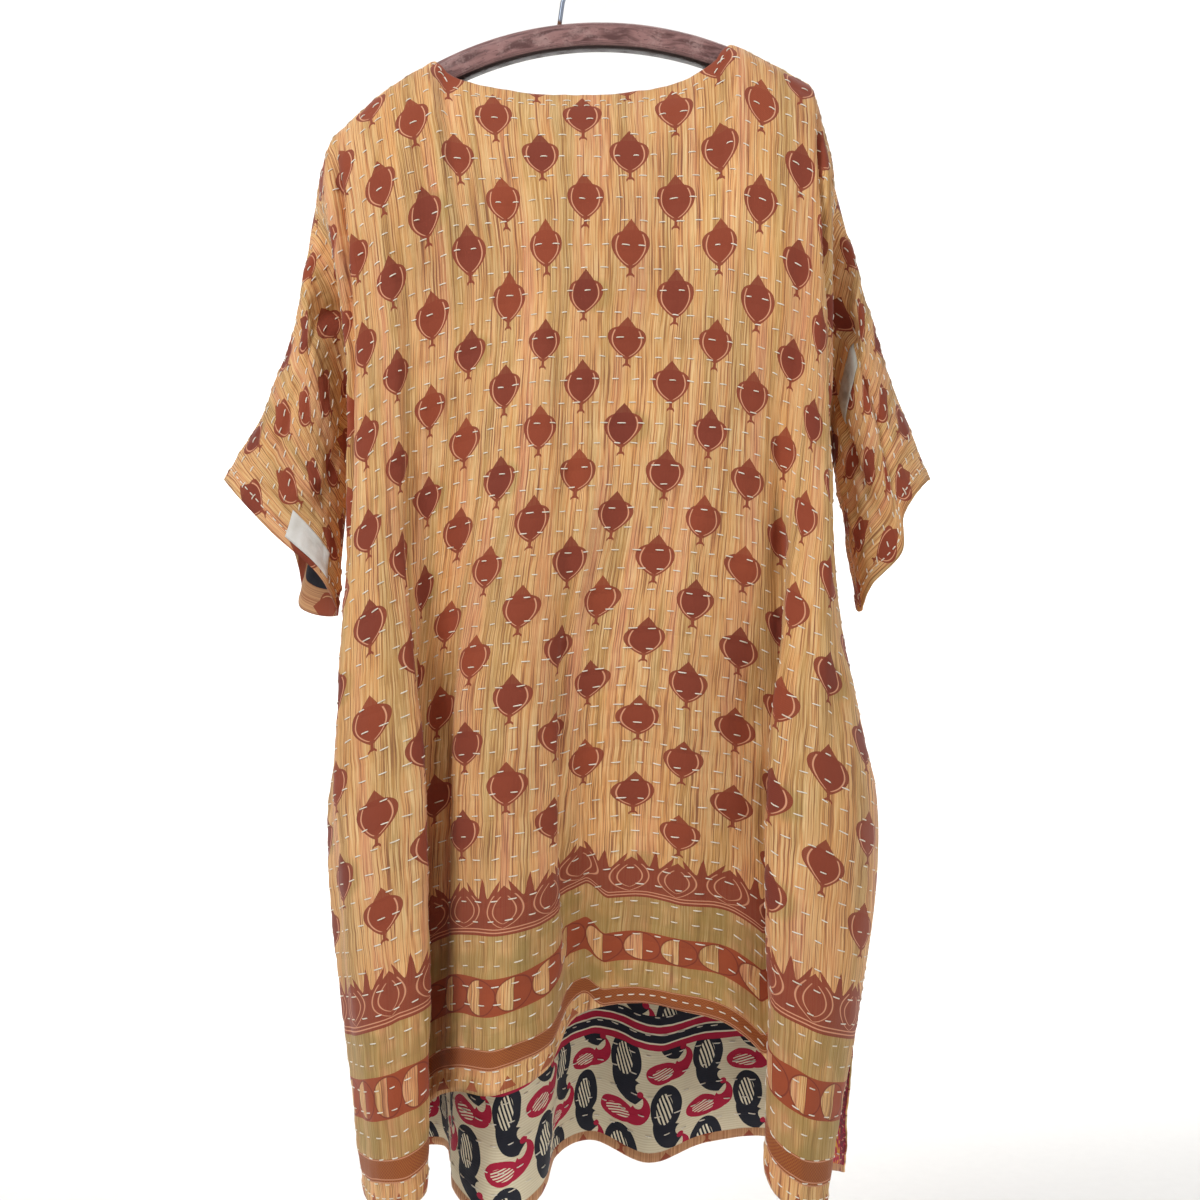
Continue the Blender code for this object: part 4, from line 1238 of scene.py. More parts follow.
@dataclass(frozen=True)
class Studio:
    """The plain pale room, its soft lights, and the camera at the photograph's angle."""

    eye: Place = (0.0333, -1.5, -0.5877)
    field: float = 1.08
    floor: float = -1.42
    wall: float = 3.6
    sweep: float = 0.7
    ceiling: float = 4.0
    half_width: float = 5.0
    glow: float = 0.30
    lights: tuple[SoftLight, ...] = (
        SoftLight("key light", (-1.5, -1.8, 1.5), 1.1, 57.0),
        SoftLight("fill light", (2.2, -1.6, 0.3), 1.8, 17.0),
        SoftLight("back light", (0.4, 1.3, 1.6), 1.6, 14.0),
        SoftLight("wall light, left", (-2.3, 2.3, 0.2), 1.2, 60.0, (-0.3, 3.6, -0.6)),
        SoftLight("wall light, right", (2.3, 2.3, 0.2), 1.2, 60.0, (0.3, 3.6, -0.6)),
    )

    def build_backdrop(self, material: bpy.types.Material) -> bpy.types.Object:
        """Make the sweep: a floor that turns up into a wall along a quarter circle."""
        angle = np.linspace(0, math.pi / 2, 24)
        radius, far = self.sweep, self.half_width
        y = np.concatenate([[-far], self.wall - radius + radius * np.sin(angle), [self.wall]])
        z = np.concatenate([[0.0], radius - radius * np.cos(angle), [self.ceiling]]) + self.floor
        x = np.array([-far, far])
        points = np.stack([np.repeat(x, len(y)), np.tile(y, 2), np.tile(z, 2)], axis=1)
        sweep = mesh_piece("backdrop", points, grid_faces(2, len(y)).reshape(-1, 4))
        sweep.data.materials.append(material)
        return sweep

    def build(self) -> None:
        """Set up the lights, the pale surroundings and the camera."""
        for light in self.lights:
            light.build()
        world = bpy.data.worlds.new("pale room")
        world.use_nodes = True
        background = world.node_tree.nodes["Background"]
        background.inputs["Color"].default_value = (1.0, 1.0, 1.0, 1.0)
        background.inputs["Strength"].default_value = self.glow
        bpy.context.scene.world = world
        bpy.context.scene.view_settings.view_transform = "Standard"
        lens = bpy.data.cameras.new("camera")
        lens.angle = 2 * math.atan(self.field / 2 / -self.eye[1])
        camera = bpy.data.objects.new("camera", lens)
        camera.location = self.eye
        camera.rotation_euler = (math.pi / 2, 0.0, 0.0)
        bpy.context.scene.collection.objects.link(camera)
        bpy.context.scene.camera = camera


def staggered_rows() -> bpy.types.NodeTree:
    """Two grids of cells, one set in the gaps of the other, as woven or printed motifs lie.

    X and Y are the place less that of the nearest cell's centre, and Chance is the cell's own number.
    """
    group = Group(
        "staggered rows", {"X": 0.0, "Y": 0.0, "Across": 80.0, "Down": 78.0},
        {"X": "Float", "Y": "Float", "Chance": "Float"},
    )
    graph, x, y = group.graph, group.inputs["X"], group.inputs["Y"]
    across, down = group.inputs["Across"], group.inputs["Down"]
    first = ((x / across + 0.5).fract() - 0.5, (y / down + 0.5).fract() - 0.5)
    second = ((x / across).fract() - 0.5, (y / down).fract() - 0.5)
    nearer = (first[0].size() + first[1].size()) < (second[0].size() + second[1].size())
    local_x, local_y = (
        (one * nearer + other * (1.0 - nearer)) * pitch
        for one, other, pitch in zip(first, second, (across, down))
    )
    cell = [((place - local) / pitch * 2.0 + 0.5).floor() for place, local, pitch
            in ((x, local_x, across), (y, local_y, down))]
    return group.give(X=local_x, Y=local_y, Chance=graph.chance(graph.pair(*cell)))


def soft_unevenness() -> bpy.types.NodeTree:
    """Slow patches and a fine grain that show on every worn or matt surface, from soft noise."""
    group = Group(
        "soft unevenness", {"X": 0.0, "Y": 0.0, "Z": 0.0, "Grain": 900.0},
        {"Slow": "Float", "Fine": "Float"},
    )
    graph, grain = group.graph, group.inputs["Grain"]
    place = [group.inputs[name] for name in "XYZ"]
    slow = graph.noise(graph.pair(*(value * 60.0 for value in place)), 3.0)
    fine = graph.noise(graph.pair(*(value * grain for value in place)), 2.0)
    return group.give(Slow=slow, Fine=fine)


@dataclass(frozen=True)
class Effects:
    """The node groups that finishes share, each made once."""

    weave: bpy.types.NodeTree
    puckers: bpy.types.NodeTree
    rows: bpy.types.NodeTree
    unevenness: bpy.types.NodeTree

    @classmethod
    def build(cls) -> "Effects":
        """Make every group."""
        return cls(slub_weave(), quilt_puckers(), staggered_rows(), soft_unevenness())


def teardrop(t: Value, girth: float) -> Value:
    """Half the width of a bud at a share t of its height: girth t^0.85 (1 - t)^1.15."""
    return (t ** 0.85) * ((1.0 - t) ** 1.15) * girth


@dataclass(frozen=True)
class Bud:
    """The parts of one woven bud, as masks in (x, y) in millimetres, y up from its widest place."""

    bud: Value
    petals: Value
    line: Value

    # How far the bud and its petals reach below y = 0, their heights, and their girths
    BUD = (14.0, 37.0, 47.0)
    PETALS = (17.0, 31.0, 38.0)
    STEM_HALF = 1.4
    STEM_YS = (-22.0, -14.0)
    FORK_LEVEL = 19.5
    FORK_HALF = 3.6
    LINE_APART = 0.9
    LINE_YS = (-13.5, 10.0)

    @classmethod
    def draw(cls, graph: Graph, x: Value, y: Value) -> "Bud":
        """Draw a bud between two petals on a forked stem, with a light line between them."""
        side = x.size()
        below, height, girth = cls.BUD
        width = teardrop((y + below) / height, girth)
        bud = side < width
        below, height, girth = cls.PETALS
        rise = (y + below) / height
        petals = side < (rise ** 0.85) * ((1.0 - rise) ** 0.42) * girth
        stem = (side < cls.STEM_HALF) * y.within(*cls.STEM_YS)
        fork = (y + cls.FORK_LEVEL + side * 0.9).size().rise(1.3, 0.9) * (side < cls.FORK_HALF)
        line = (side - width - cls.LINE_APART).size().rise(0.75, 0.4) * y.within(*cls.LINE_YS)
        return cls(bud, graph.either(petals, stem, fork), line)


@dataclass(frozen=True)
class PrintedCotton:
    """The outer cloth: slub stripes, woven buds in staggered rows, and a border above the hem.

    The border's bands are set by their height over the hem in millimetres. Where the hem is turned
    under, in the front's recess, `turned` lifts that height.
    """

    name: str
    length: float
    turned: float = 0.0
    roughness: float = 0.88
    relief: float = 0.0007

    GROUND = (
        (0.26, srgb(146, 88, 60)), (0.37, srgb(198, 132, 84)), (0.46, srgb(218, 156, 96)),
        (0.55, srgb(232, 180, 122)), (0.63, srgb(196, 152, 94)), (0.76, srgb(240, 200, 146)),
    )
    OLIVE = srgb(158, 132, 70)
    PINK = srgb(212, 134, 106)
    GOLD = srgb(218, 158, 84)
    PALE = srgb(248, 208, 150)
    UMBER = srgb(142, 92, 62)
    RUST = srgb(160, 72, 38)
    DEEP = srgb(122, 48, 30)
    PETAL = srgb(136, 54, 36)
    LINE = srgb(230, 166, 128)
    BROWN = srgb(164, 92, 38)

    # Heights over the hem at which the buds end and the bands lie, and the pitches of their motifs
    BUDS_FROM = 214.0
    LOTUS_FROM = 144.0
    HIGH_OLIVE = (107.0, 144.0)
    CIRCLES = (73.0, 107.0)
    LOW_OLIVE = (42.0, 73.0)
    CHECKS = (22.0, 42.0)
    TRIANGLES = (2.0, 14.0)
    LOTUS_PITCH = 40.0
    CIRCLE_PITCH = 31.0
    CIRCLE_RADIUS = 15.0
    TRIANGLE_PITCH = 35.0
    # The u between which the front's hem is turned under, each with the end of its fade
    RECESS = ((0.045, 0.065), (0.200, 0.185))
    HATCH = 0.62

    def _ground(self, graph: Graph, effects: Effects, u: Value, v: Value) -> tuple[Value, Value]:
        """The cloth between the motifs, and the height of its threads."""
        weave = graph.use(effects.weave, U=u, V=v)
        stripe = (weave["Stripe"] * 0.58 + weave["Thread"] * 0.42 - 0.5) * 1.8 + 0.5
        ground = graph.ramp(stripe, self.GROUND)
        ground = graph.mix(weave["Tone"].rise(0.50, 0.62) * 0.45, ground, self.OLIVE)
        ground = graph.mix(weave["Tone"].rise(0.47, 0.36) * 0.45, ground, self.PINK)
        gold = graph.noise(graph.pair(u * 26.0, v * 5.0, 12.0), 2.0)
        ground = graph.mix(gold.rise(0.50, 0.62) * 0.28, ground, self.GOLD)
        fine = weave["Thread"] * 0.6 + weave["Stripe"] * 0.4
        ground = graph.mix(fine.rise(0.53, 0.57) * 0.55, ground, self.PALE)
        ground = graph.mix(fine.rise(0.46, 0.42) * 0.5, ground, self.UMBER)
        blot = graph.noise(graph.pair(u * 11.0, v * 9.0, 7.0), 2.0)
        return graph.shade(ground, blot * 0.5 + 0.76), weave["Height"]

    def _buds(self, graph: Graph, effects: Effects, ground: Value, x: Value, y: Value, h: Value) -> Value:
        """Weave the staggered buds into the ground, whole ones only, down to the border."""
        cell = graph.use(
            effects.rows, X=x, Y=y - MM * BUD_FIRST_V, Across=MM * BUD_PITCH_U, Down=MM * BUD_PITCH_V
        )
        bud = Bud.draw(graph, cell["X"], cell["Y"] * -1.0)
        hatch = ((cell["X"] + cell["Y"]) * self.HATCH).fract().rise(0.35, 0.65)
        tint = graph.mix(cell["Chance"], self.RUST, self.DEEP)
        body = graph.mix(hatch * 0.45, tint, self.PETAL)
        aside = cell["X"] - 9.0
        ghost = (aside * aside + cell["Y"] * cell["Y"]).rise(330.0, 60.0) * (cell["Chance"] > 0.84)
        ground = graph.mix(ghost * 0.5, ground, self.OLIVE)
        petals = graph.mix(hatch * 0.4, self.PETAL, self.RUST)
        color = graph.mix(bud.petals * 0.94, ground, petals)
        color = graph.mix(bud.bud * 0.95, color, body)
        color = graph.mix(bud.line * 0.9, color, self.LINE)
        return graph.mix((h + cell["Y"]) > self.BUDS_FROM, ground, color)

    def _lotus(self, graph: Graph, ground: Value, x: Value, h: Value) -> Value:
        """Weave the band of lotus buds: bulbs in light outline on a rust base, and tufts between."""
        across, y = x.repeat(self.LOTUS_PITCH), h - self.LOTUS_FROM
        width = teardrop((y - 7.0) / 37.0, 62.0)
        side = across.size()
        between = (x + self.LOTUS_PITCH / 2).repeat(self.LOTUS_PITCH)
        rise = y - 14.0
        angle = graph.math("ARCTAN2", between, rise)
        reach = (angle * 7.0).sine().size() * -18.0 + 38.0
        tuft = (((between * between) + (rise * rise)) ** 0.5 < reach) * (y > 10.0)
        solid = graph.either(tuft, side < width, y.within(0.0, 16.0))
        line = graph.either(
            (side - width).size().rise(0.9, 0.4) * y.within(7.0, 36.0),
            (side - teardrop((y - 11.0) / 27.0, 40.0)).size().rise(0.8, 0.35) * y.within(11.0, 35.0),
            (y - 3.0).size().rise(0.7, 0.35),
            (y - 6.0).size().rise(0.6, 0.3),
        )
        hatch = ((x + h) * self.HATCH).fract().rise(0.35, 0.65)
        fabric = graph.mix(hatch * 0.4, self.PETAL, self.RUST)
        return graph.mix(line * 0.8, graph.mix(solid * 0.95, ground, fabric), self.LINE)

    def _border(self, graph: Graph, color: Value, x: Value, h: Value) -> Value:
        """Weave the border: a strip of triangles, brown checks, olive, half circles, olive, lotus."""
        olive = graph.either(h.within(*self.LOW_OLIVE), h.within(*self.HIGH_OLIVE))
        patch = graph.noise(graph.pair(x * 0.05, h * 0.04, 9.0), 1.0).rise(0.3, 0.62)
        color = graph.mix(olive * (patch * 0.4 + 0.3), color, self.OLIVE)
        across = x.repeat(self.CIRCLE_PITCH)
        up = (h - sum(self.CIRCLES) / 2) * 0.97
        far = ((across * across) + (up * up)) ** 0.5
        inside = far < self.CIRCLE_RADIUS
        half = graph.mix(inside * (across < 0.0), self.RUST, color)
        edge = graph.either(
            (far - self.CIRCLE_RADIUS - 0.2).size().rise(0.8, 0.4), across.size().rise(0.5, 0.2) * inside
        )
        band = graph.mix(edge * 0.8, half, self.DEEP)
        color = graph.mix(h.within(*self.CIRCLES), color, band)
        check = ((x * 2.2).sine() * (h * 2.2).sine()) > 0.0
        checked = graph.mix(check * 0.55, self.BROWN, self.DEEP)
        color = graph.mix(h.within(*self.CHECKS), color, checked)
        thin = graph.either(*((h - level).size().rise(0.7, 0.3) for level in (22.5, 25.0, 41.0)))
        color = graph.mix(thin * 0.6, color, self.LINE)
        low, high = self.TRIANGLES
        triangle = (x.repeat(self.TRIANGLE_PITCH).size() < (high - h) * 0.62) * (h > low)
        color = graph.mix(triangle * 0.9, color, self.RUST)
        return self._lotus(graph, color, x, h)

    def build(self, effects: Effects) -> bpy.types.Material:
        """Make the material from the shared effects."""
        material, graph, shader = new_material(self.name)
        u, v = cut_place(graph)
        sway = graph.noise(graph.pair(u * 22.0, v * 18.0, 2.0), 2.0) - 0.5
        u = u + sway * 0.0045
        v = v + (graph.noise(graph.pair(u * 14.0, v * 11.0, 5.0), 1.0) - 0.5) * 0.010
        ground, threads = self._ground(graph, effects, u, v)
        x, h = u * MM, v * -MM + MM * self.length
        left, right = self.RECESS
        h = h + u.rise(*left) * u.rise(*right) * self.turned
        color = self._border(graph, self._buds(graph, effects, ground, x, v * MM, h), x, h)
        graph.join(color, shader.inputs["Base Color"])
        shader.inputs["Roughness"].default_value = self.roughness
        shader.inputs["Sheen Weight"].default_value = CLOTH_SHEEN
        pucker = graph.use(effects.puckers, U=u, V=v)["Height"]
        bump(graph, shader, pucker + threads * 0.22, self.relief)
        return material


@dataclass(frozen=True)
class PrintedLining:
    """The reverse: ribbed cream cloth with black and magenta paisleys, stripes and patched corners."""

    name: str
    length: float
    patched: bool = False
    roughness: float = 0.88
    relief: float = 0.0006

    CREAM = srgb(244, 234, 206)
    RIB = srgb(212, 194, 152)
    INK = srgb(30, 32, 44)
    MAGENTA = srgb(186, 24, 62)
    WINE = srgb(128, 30, 52)
    YELLOW = srgb(226, 158, 44)
    TURNED = srgb(170, 108, 72)
    TAN = srgb(216, 166, 118)
    RUST = srgb(154, 72, 44)

    # In millimetres: the pitch of the paisleys across and down, where the stripes lie, how high the
    # hem is faced, where the cuffs are faced and taped, and where the corner's two patches begin
    PITCH = (80.0, 86.0)
    STRIPES_AT = 900.0
    INK_STRIPES = ((-9.0, 0.0), (8.0, 17.0))
    STRIPED = (-9.0, 24.0)
    FACED_HEM = 9.0
    FACED_CUFF = 470.0
    TAPE = (526.0, 540.0)
    CORNER = (305.0, 780.0)
    SCRAP = ((325.0, 356.0), 972.0)

    @staticmethod
    def _paisley(graph: Graph, x: Value, y: Value) -> tuple[Value, Value]:
        """One paisley in millimetres, and its hatched core.

        The head is an ellipse, the tail is part of a ring that grows thin along its turn.
        """
        x, y = x * 0.84, y * 0.84
        head = (x + 1.0) * (x + 1.0) / 150.0 + (y - 7.0) * (y - 7.0) / 330.0 < 1.0
        side, rise = x - 12.0, y + 10.0
        turn = graph.math("ARCTAN2", rise * -1.0, side * -1.0)
        ring = ((side * side + rise * rise) ** 0.5 - 13.0).size()
        tail = (ring < (1.0 - turn / 2.4) * 8.5 + 1.0) * turn.within(-0.5, 2.5)
        tip = (x - 23.5) * (x - 23.5) + (y + 16.0) * (y + 16.0) < 12.0
        core = (x + 2.0) * (x + 2.0) / 42.0 + (y - 6.0) * (y - 6.0) / 150.0 < 1.0
        return graph.either(head, tail, tip), core

    def _motif(self, graph: Graph, ground: Value, x: Value, y: Value, ink: Color) -> Value:
        """Print one paisley in each cell of the staggered rows, in one ink."""
        body, core = self._paisley(graph, x, y)
        hatch = ((x * 0.45 + y * 0.16) * 0.62).fract().rise(0.42, 0.58)
        color = graph.mix(body, ground, ink)
        return graph.mix(core * hatch, color, self.CREAM)

    def build(self, effects: Effects) -> bpy.types.Material:
        """Make the material from the shared effects."""
        material, graph, shader = new_material(self.name)
        u, v = cut_place(graph)
        weave = graph.use(effects.weave, U=v, V=u)
        sway = (graph.noise(graph.pair(u * 30.0, v * 26.0, 6.0), 2.0) - 0.5) * 5.0
        x, y = u * MM + sway, v * MM + sway
        rib = (v * 2600.0).sine() * 0.5 + 0.5
        ground = graph.mix(rib * 0.4 + weave["Thread"] * 0.35, self.CREAM, self.RIB)
        across, down = self.PITCH
        cell = graph.use(effects.rows, X=x, Y=y, Across=across, Down=down)
        color = self._motif(graph, ground, cell["X"], cell["Y"] * -1.0, self.INK)
        other = graph.use(effects.rows, X=x - across / 2, Y=y, Across=across, Down=down)
        color = self._motif(graph, color, other["Y"] * -1.35, other["X"] * -1.35, self.MAGENTA)
        band = y - self.STRIPES_AT
        inked = graph.either(*(band.within(*stripe) for stripe in self.INK_STRIPES))
        striped = graph.mix(inked, self.MAGENTA, self.INK)
        white = graph.either(*((band - level).size().rise(1.0, 0.6) for level in (0.0, 8.0, 17.0)))
        color = graph.mix(band.within(*self.STRIPED), color, graph.mix(white, striped, self.CREAM))
        if self.patched:
            color = self._corner(graph, color, x, y)
        color = self._turned(graph, effects, color, u, v)
        graph.join(color, shader.inputs["Base Color"])
        shader.inputs["Roughness"].default_value = self.roughness
        shader.inputs["Sheen Weight"].default_value = CLOTH_SHEEN
        pucker = graph.use(effects.puckers, U=u, V=v)["Height"]
        bump(graph, shader, pucker + rib * 0.06, self.relief)
        return material

    def _turned(self, graph: Graph, effects: Effects, color: Value, u: Value, v: Value) -> Value:
        """Face the hem and the cuffs with the outer cloth, its buds too, and a dark tape in each cuff."""
        weave = graph.use(effects.weave, U=u, V=v)
        facing = graph.mix(weave["Stripe"].rise(0.3, 0.7), self.TURNED, self.TAN)
        cell = graph.use(effects.rows, X=u * MM, Y=v * MM - MM * BUD_FIRST_V)
        bud = Bud.draw(graph, cell["X"], cell["Y"] * -1.0)
        facing = graph.mix(graph.either(bud.bud, bud.petals), facing, self.RUST)
        facing = graph.mix(bud.line, facing, self.TAN)
        across, h = u.size() * MM, v * -MM + MM * self.length
        facing = graph.mix(across.within(*self.TAPE), facing, self.INK)
        return graph.mix(graph.either(h < self.FACED_HEM, across > self.FACED_CUFF), color, facing)

    def _corner(self, graph: Graph, color: Value, x: Value, y: Value) -> Value:
        """Lay a wine-red spotted cloth and a small red patch with yellow leaves near the right slit."""
        spot = graph.noise(graph.pair(x * 0.16, y * 0.22, 3.0), 2.0)
        spotted = graph.mix(spot.rise(0.50, 0.56), self.WINE, self.MAGENTA)
        spotted = graph.mix(spot.rise(0.62, 0.66), spotted, self.RIB)
        from_x, from_y = self.CORNER
        color = graph.mix((x > from_x) * (y > from_y), color, spotted)
        leaf = (graph.noise(graph.pair(x * 0.22, y * 0.10, 8.0), 0.0)).rise(0.50, 0.54)
        scrap = graph.mix(leaf, self.MAGENTA, self.YELLOW)
        between, from_y = self.SCRAP
        return graph.mix(x.within(*between) * (y > from_y), color, scrap)


@dataclass(frozen=True)
class PlainFinish:
    """A finish with no more than soft unevenness in its colour and a fine grain."""

    name: str
    color: Color
    dark: Color
    roughness: float
    grain: float = 900.0
    relief: float = 0.0002

    def build(self, effects: Effects) -> bpy.types.Material:
        """Make the material from the shared effects."""
        material, graph, shader = new_material(self.name)
        slow, fine = uneven_surface(graph, effects, self.grain)
        color = graph.mix((slow + fine).rise(0.75, 1.25), self.dark, self.color)
        graph.join(color, shader.inputs["Base Color"])
        graph.join(slow * 0.2 + (self.roughness - 0.1), shader.inputs["Roughness"])
        bump(graph, shader, fine, self.relief)
        return material


@dataclass(frozen=True)
class PlainWeave:
    """A small piece of plainly woven cloth: threads over and under, a soiled edge and a few stains.

    The threads are sines of (u, v), and the soil is soft noise in the object's own place.
    """

    name: str
    color: Color
    soil: Color
    pitch: float
    stains: float

    def build(self, effects: Effects) -> bpy.types.Material:
        """Make the material from the shared effects."""
        material, graph, shader = new_material(self.name)
        u, v = cut_place(graph)
        turn = math.tau / self.pitch
        threads = (u * turn).sine() * (v * turn).sine()
        slow, fine = uneven_surface(graph, effects, 700.0)
        soiled = slow.rise(0.46, 0.70) * self.stains + (threads * 0.5 + 0.5) * 0.22 + fine * 0.12
        graph.join(graph.mix(soiled, self.color, self.soil), shader.inputs["Base Color"])
        shader.inputs["Roughness"].default_value = 0.86
        shader.inputs["Sheen Weight"].default_value = 0.1
        bump(graph, shader, threads * 0.5 + slow * 1.2, 0.0003)
        return material


@dataclass(frozen=True)
class OldWood:
    """Old varnished wood: grain along the bow, dark pores, rubbed patches and painted shade along its
    underside.
    """

    name: str = "old varnished wood"
    varnish: Color = srgb(158, 116, 112)
    deep: Color = srgb(98, 64, 62)
    rubbed: Color = srgb(182, 148, 142)
    # The colour of the painted shade on the underside, and where round the bar that painted shade is centred
    shadowed: Color = srgb(38, 25, 22)
    underside: float = 0.044

    def build(self, effects: Effects) -> bpy.types.Material:
        """Make the material from the shared effects."""
        material, graph, shader = new_material(self.name)
        along, around = cut_place(graph)
        slow, fine = uneven_surface(graph, effects, 520.0)
        drift = graph.noise(graph.pair(along * 16.0, around * 40.0, 1.0), 2.0)
        grain = graph.noise(graph.pair(along * 34.0, around * 900.0 + drift * 6.0, 3.0), 3.0)
        pores = graph.noise(graph.pair(along * 210.0, around * 2600.0, 5.0), 1.0).rise(0.62, 0.70)
        color = graph.mix(grain.rise(0.34, 0.60), self.deep, self.varnish)
        rubbed = (slow + fine * 0.4).rise(0.66, 0.90)
        color = graph.mix(rubbed * 0.55, color, self.rubbed)
        color = graph.mix(pores * 0.6, color, self.deep)
        # Painted shade: a band round the bar's underside is darkened toward the shadowed colour, where the
        # bar's own shade falls
        below = (around - self.underside).size().rise(0.0125, 0.0095)
        color = graph.mix(below * 0.9, color, self.shadowed)
        graph.join(color, shader.inputs["Base Color"])
        graph.join(rubbed * 0.3 + grain * 0.2 + 0.3, shader.inputs["Roughness"])
        shader.inputs["Coat Weight"].default_value = 0.25
        shader.inputs["Coat Roughness"].default_value = 0.3
        bump(graph, shader, grain * 0.5 - pores * 0.6 + slow * 0.8, 0.0003)
        return material


@dataclass(frozen=True)
class DrawnWire:
    """Dull steel wire: fine scratches round it, and brown rust in patches, most of it near the wood."""

    name: str = "hook wire"
    steel: Color = srgb(134, 142, 156)
    rust: Color = srgb(112, 72, 48)

    def build(self, effects: Effects) -> bpy.types.Material:
        """Make the material from the shared effects."""
        material, graph, shader = new_material(self.name)
        slow, fine = uneven_surface(graph, effects, 1600.0)
        where = Value(graph, graph.node("ShaderNodeTexCoord").outputs["Object"])
        low = graph.split(where)[2].rise(-0.055, -0.090)
        rusty = (slow + low * 0.25 + fine * 0.12).rise(0.66, 0.80)
        graph.join(graph.mix(rusty, self.steel, self.rust), shader.inputs["Base Color"])
        graph.join(1.0 - rusty * 0.85, shader.inputs["Metallic"])
        graph.join(rusty * 0.4 + fine * 0.2 + 0.28, shader.inputs["Roughness"])
        bump(graph, shader, rusty * 0.7 + fine * 0.5, 0.00012)
        return material


def uneven_surface(graph: Graph, effects: Effects, grain: float) -> tuple[Value, Value]:
    """Slow patches and fine grain at the object's own places."""
    x, y, z = graph.split(Value(graph, graph.node("ShaderNodeTexCoord").outputs["Object"]))
    made = graph.use(effects.unevenness, X=x, Y=y, Z=z, Grain=grain)
    return made["Slow"], made["Fine"]


def new_material(name: str) -> tuple[bpy.types.Material, Graph, bpy.types.Node]:
    """Make an empty material, and give its graph and its Principled shader."""
    material = bpy.data.materials.new(name)
    material.use_nodes = True
    return material, Graph(material.node_tree), material.node_tree.nodes["Principled BSDF"]


def bump(graph: Graph, shader: bpy.types.Node, height: Value, distance: float) -> None:
    """Feed the shader's normal from a relief of the given depth in metres."""
    made = graph.node("ShaderNodeBump")
    made.inputs["Strength"].default_value = 1.0
    made.inputs["Distance"].default_value = distance
    graph.join(height, made.inputs["Height"])
    graph.join(Value(graph, made.outputs["Normal"]), shader.inputs["Normal"])


def cut_place(graph: Graph) -> tuple[Value, Value]:
    """The place (u, v) in the flat cut, from the piece's own UV map."""
    u, v, _ = graph.split(Value(graph, graph.node("ShaderNodeUVMap", uv_map="cut").outputs["UV"]))
    return u, v


# Creases as the photograph shows them, then the sleeves' and the hems' own
FRONT_CREASES = (
    Crease((-0.250, 0.035), (-0.262, 0.190), 0.0070, 0.0160, 0.004),
    Crease((-0.258, 0.150), (-0.272, 0.420), 0.0075, 0.0150, -0.003),
    Crease((-0.240, 0.060), (-0.215, 0.330), 0.0120, 0.0047, 0.006),
    Crease((0.226, 0.040), (0.262, 0.200), 0.0070, 0.0160, -0.004),
    Crease((0.262, 0.165), (0.296, 0.420), 0.0075, 0.0145, 0.003),
    Crease((0.205, 0.070), (0.214, 0.350), 0.0120, 0.0043, -0.006),
    Crease((-0.188, 0.120), (-0.186, 0.480), 0.0100, 0.0070, 0.004),
    Crease((-0.190, 0.380), (-0.180, 0.900), 0.0070, 0.0093, -0.004),
    Crease((-0.130, 0.300), (-0.108, 0.700), 0.0110, 0.0047, 0.004),
    Crease((-0.105, 0.480), (-0.112, 0.910), 0.0080, 0.0078, 0.003),
    Crease((-0.030, 0.210), (0.014, 0.660), 0.0100, 0.0065, 0.005),
    Crease((0.006, 0.520), (0.036, 0.900), 0.0080, 0.0093, -0.003),
    Crease((0.060, 0.420), (0.082, 0.880), 0.0140, 0.0050, 0.004),
    Crease((0.118, 0.350), (0.126, 0.800), 0.0160, -0.0047, -0.005),
    Crease((0.186, 0.270), (0.204, 0.560), 0.0080, 0.0081, 0.002),
    Crease((0.202, 0.480), (0.196, 0.900), 0.0075, 0.0090, 0.004),
    Crease((0.290, 0.420), (0.276, 0.860), 0.0150, 0.0053, -0.004),
    Crease((-0.310, 0.400), (-0.300, 0.880), 0.0140, 0.0050, 0.005),
    Crease((-0.085, 0.070), (-0.050, 0.300), 0.0130, 0.0037, 0.005),
    Crease((0.085, 0.080), (0.055, 0.330), 0.0130, 0.0034, -0.004),
    Crease((0.150, 0.055), (0.140, 0.300), 0.0120, 0.0040, 0.003),
    Crease((-0.150, 0.060), (-0.156, 0.290), 0.0120, 0.0037, -0.004),
    Crease((-0.560, 0.070), (-0.330, 0.110), 0.0090, 0.0053, 0.006),
    Crease((-0.520, 0.150), (-0.300, 0.230), 0.0080, 0.0062, -0.006),
    Crease((-0.440, 0.030), (-0.300, 0.150), 0.0110, 0.0047, 0.005),
    Crease((-0.540, 0.105), (-0.430, 0.205), 0.0060, -0.0040, 0.004),
    Crease((0.560, 0.085), (0.340, 0.120), 0.0080, 0.0068, -0.006),
    Crease((0.560, 0.135), (0.350, 0.200), 0.0070, 0.0074, 0.005),
    Crease((0.545, 0.180), (0.400, 0.228), 0.0060, -0.0047, 0.003),
    Crease((0.450, 0.040), (0.310, 0.170), 0.0100, 0.0053, -0.005),
    Crease((-0.240, 0.640), (-0.232, 0.905), 0.0100, 0.0047, 0.003),
    Crease((0.246, 0.640), (0.236, 0.905), 0.0100, 0.0043, -0.003),
)
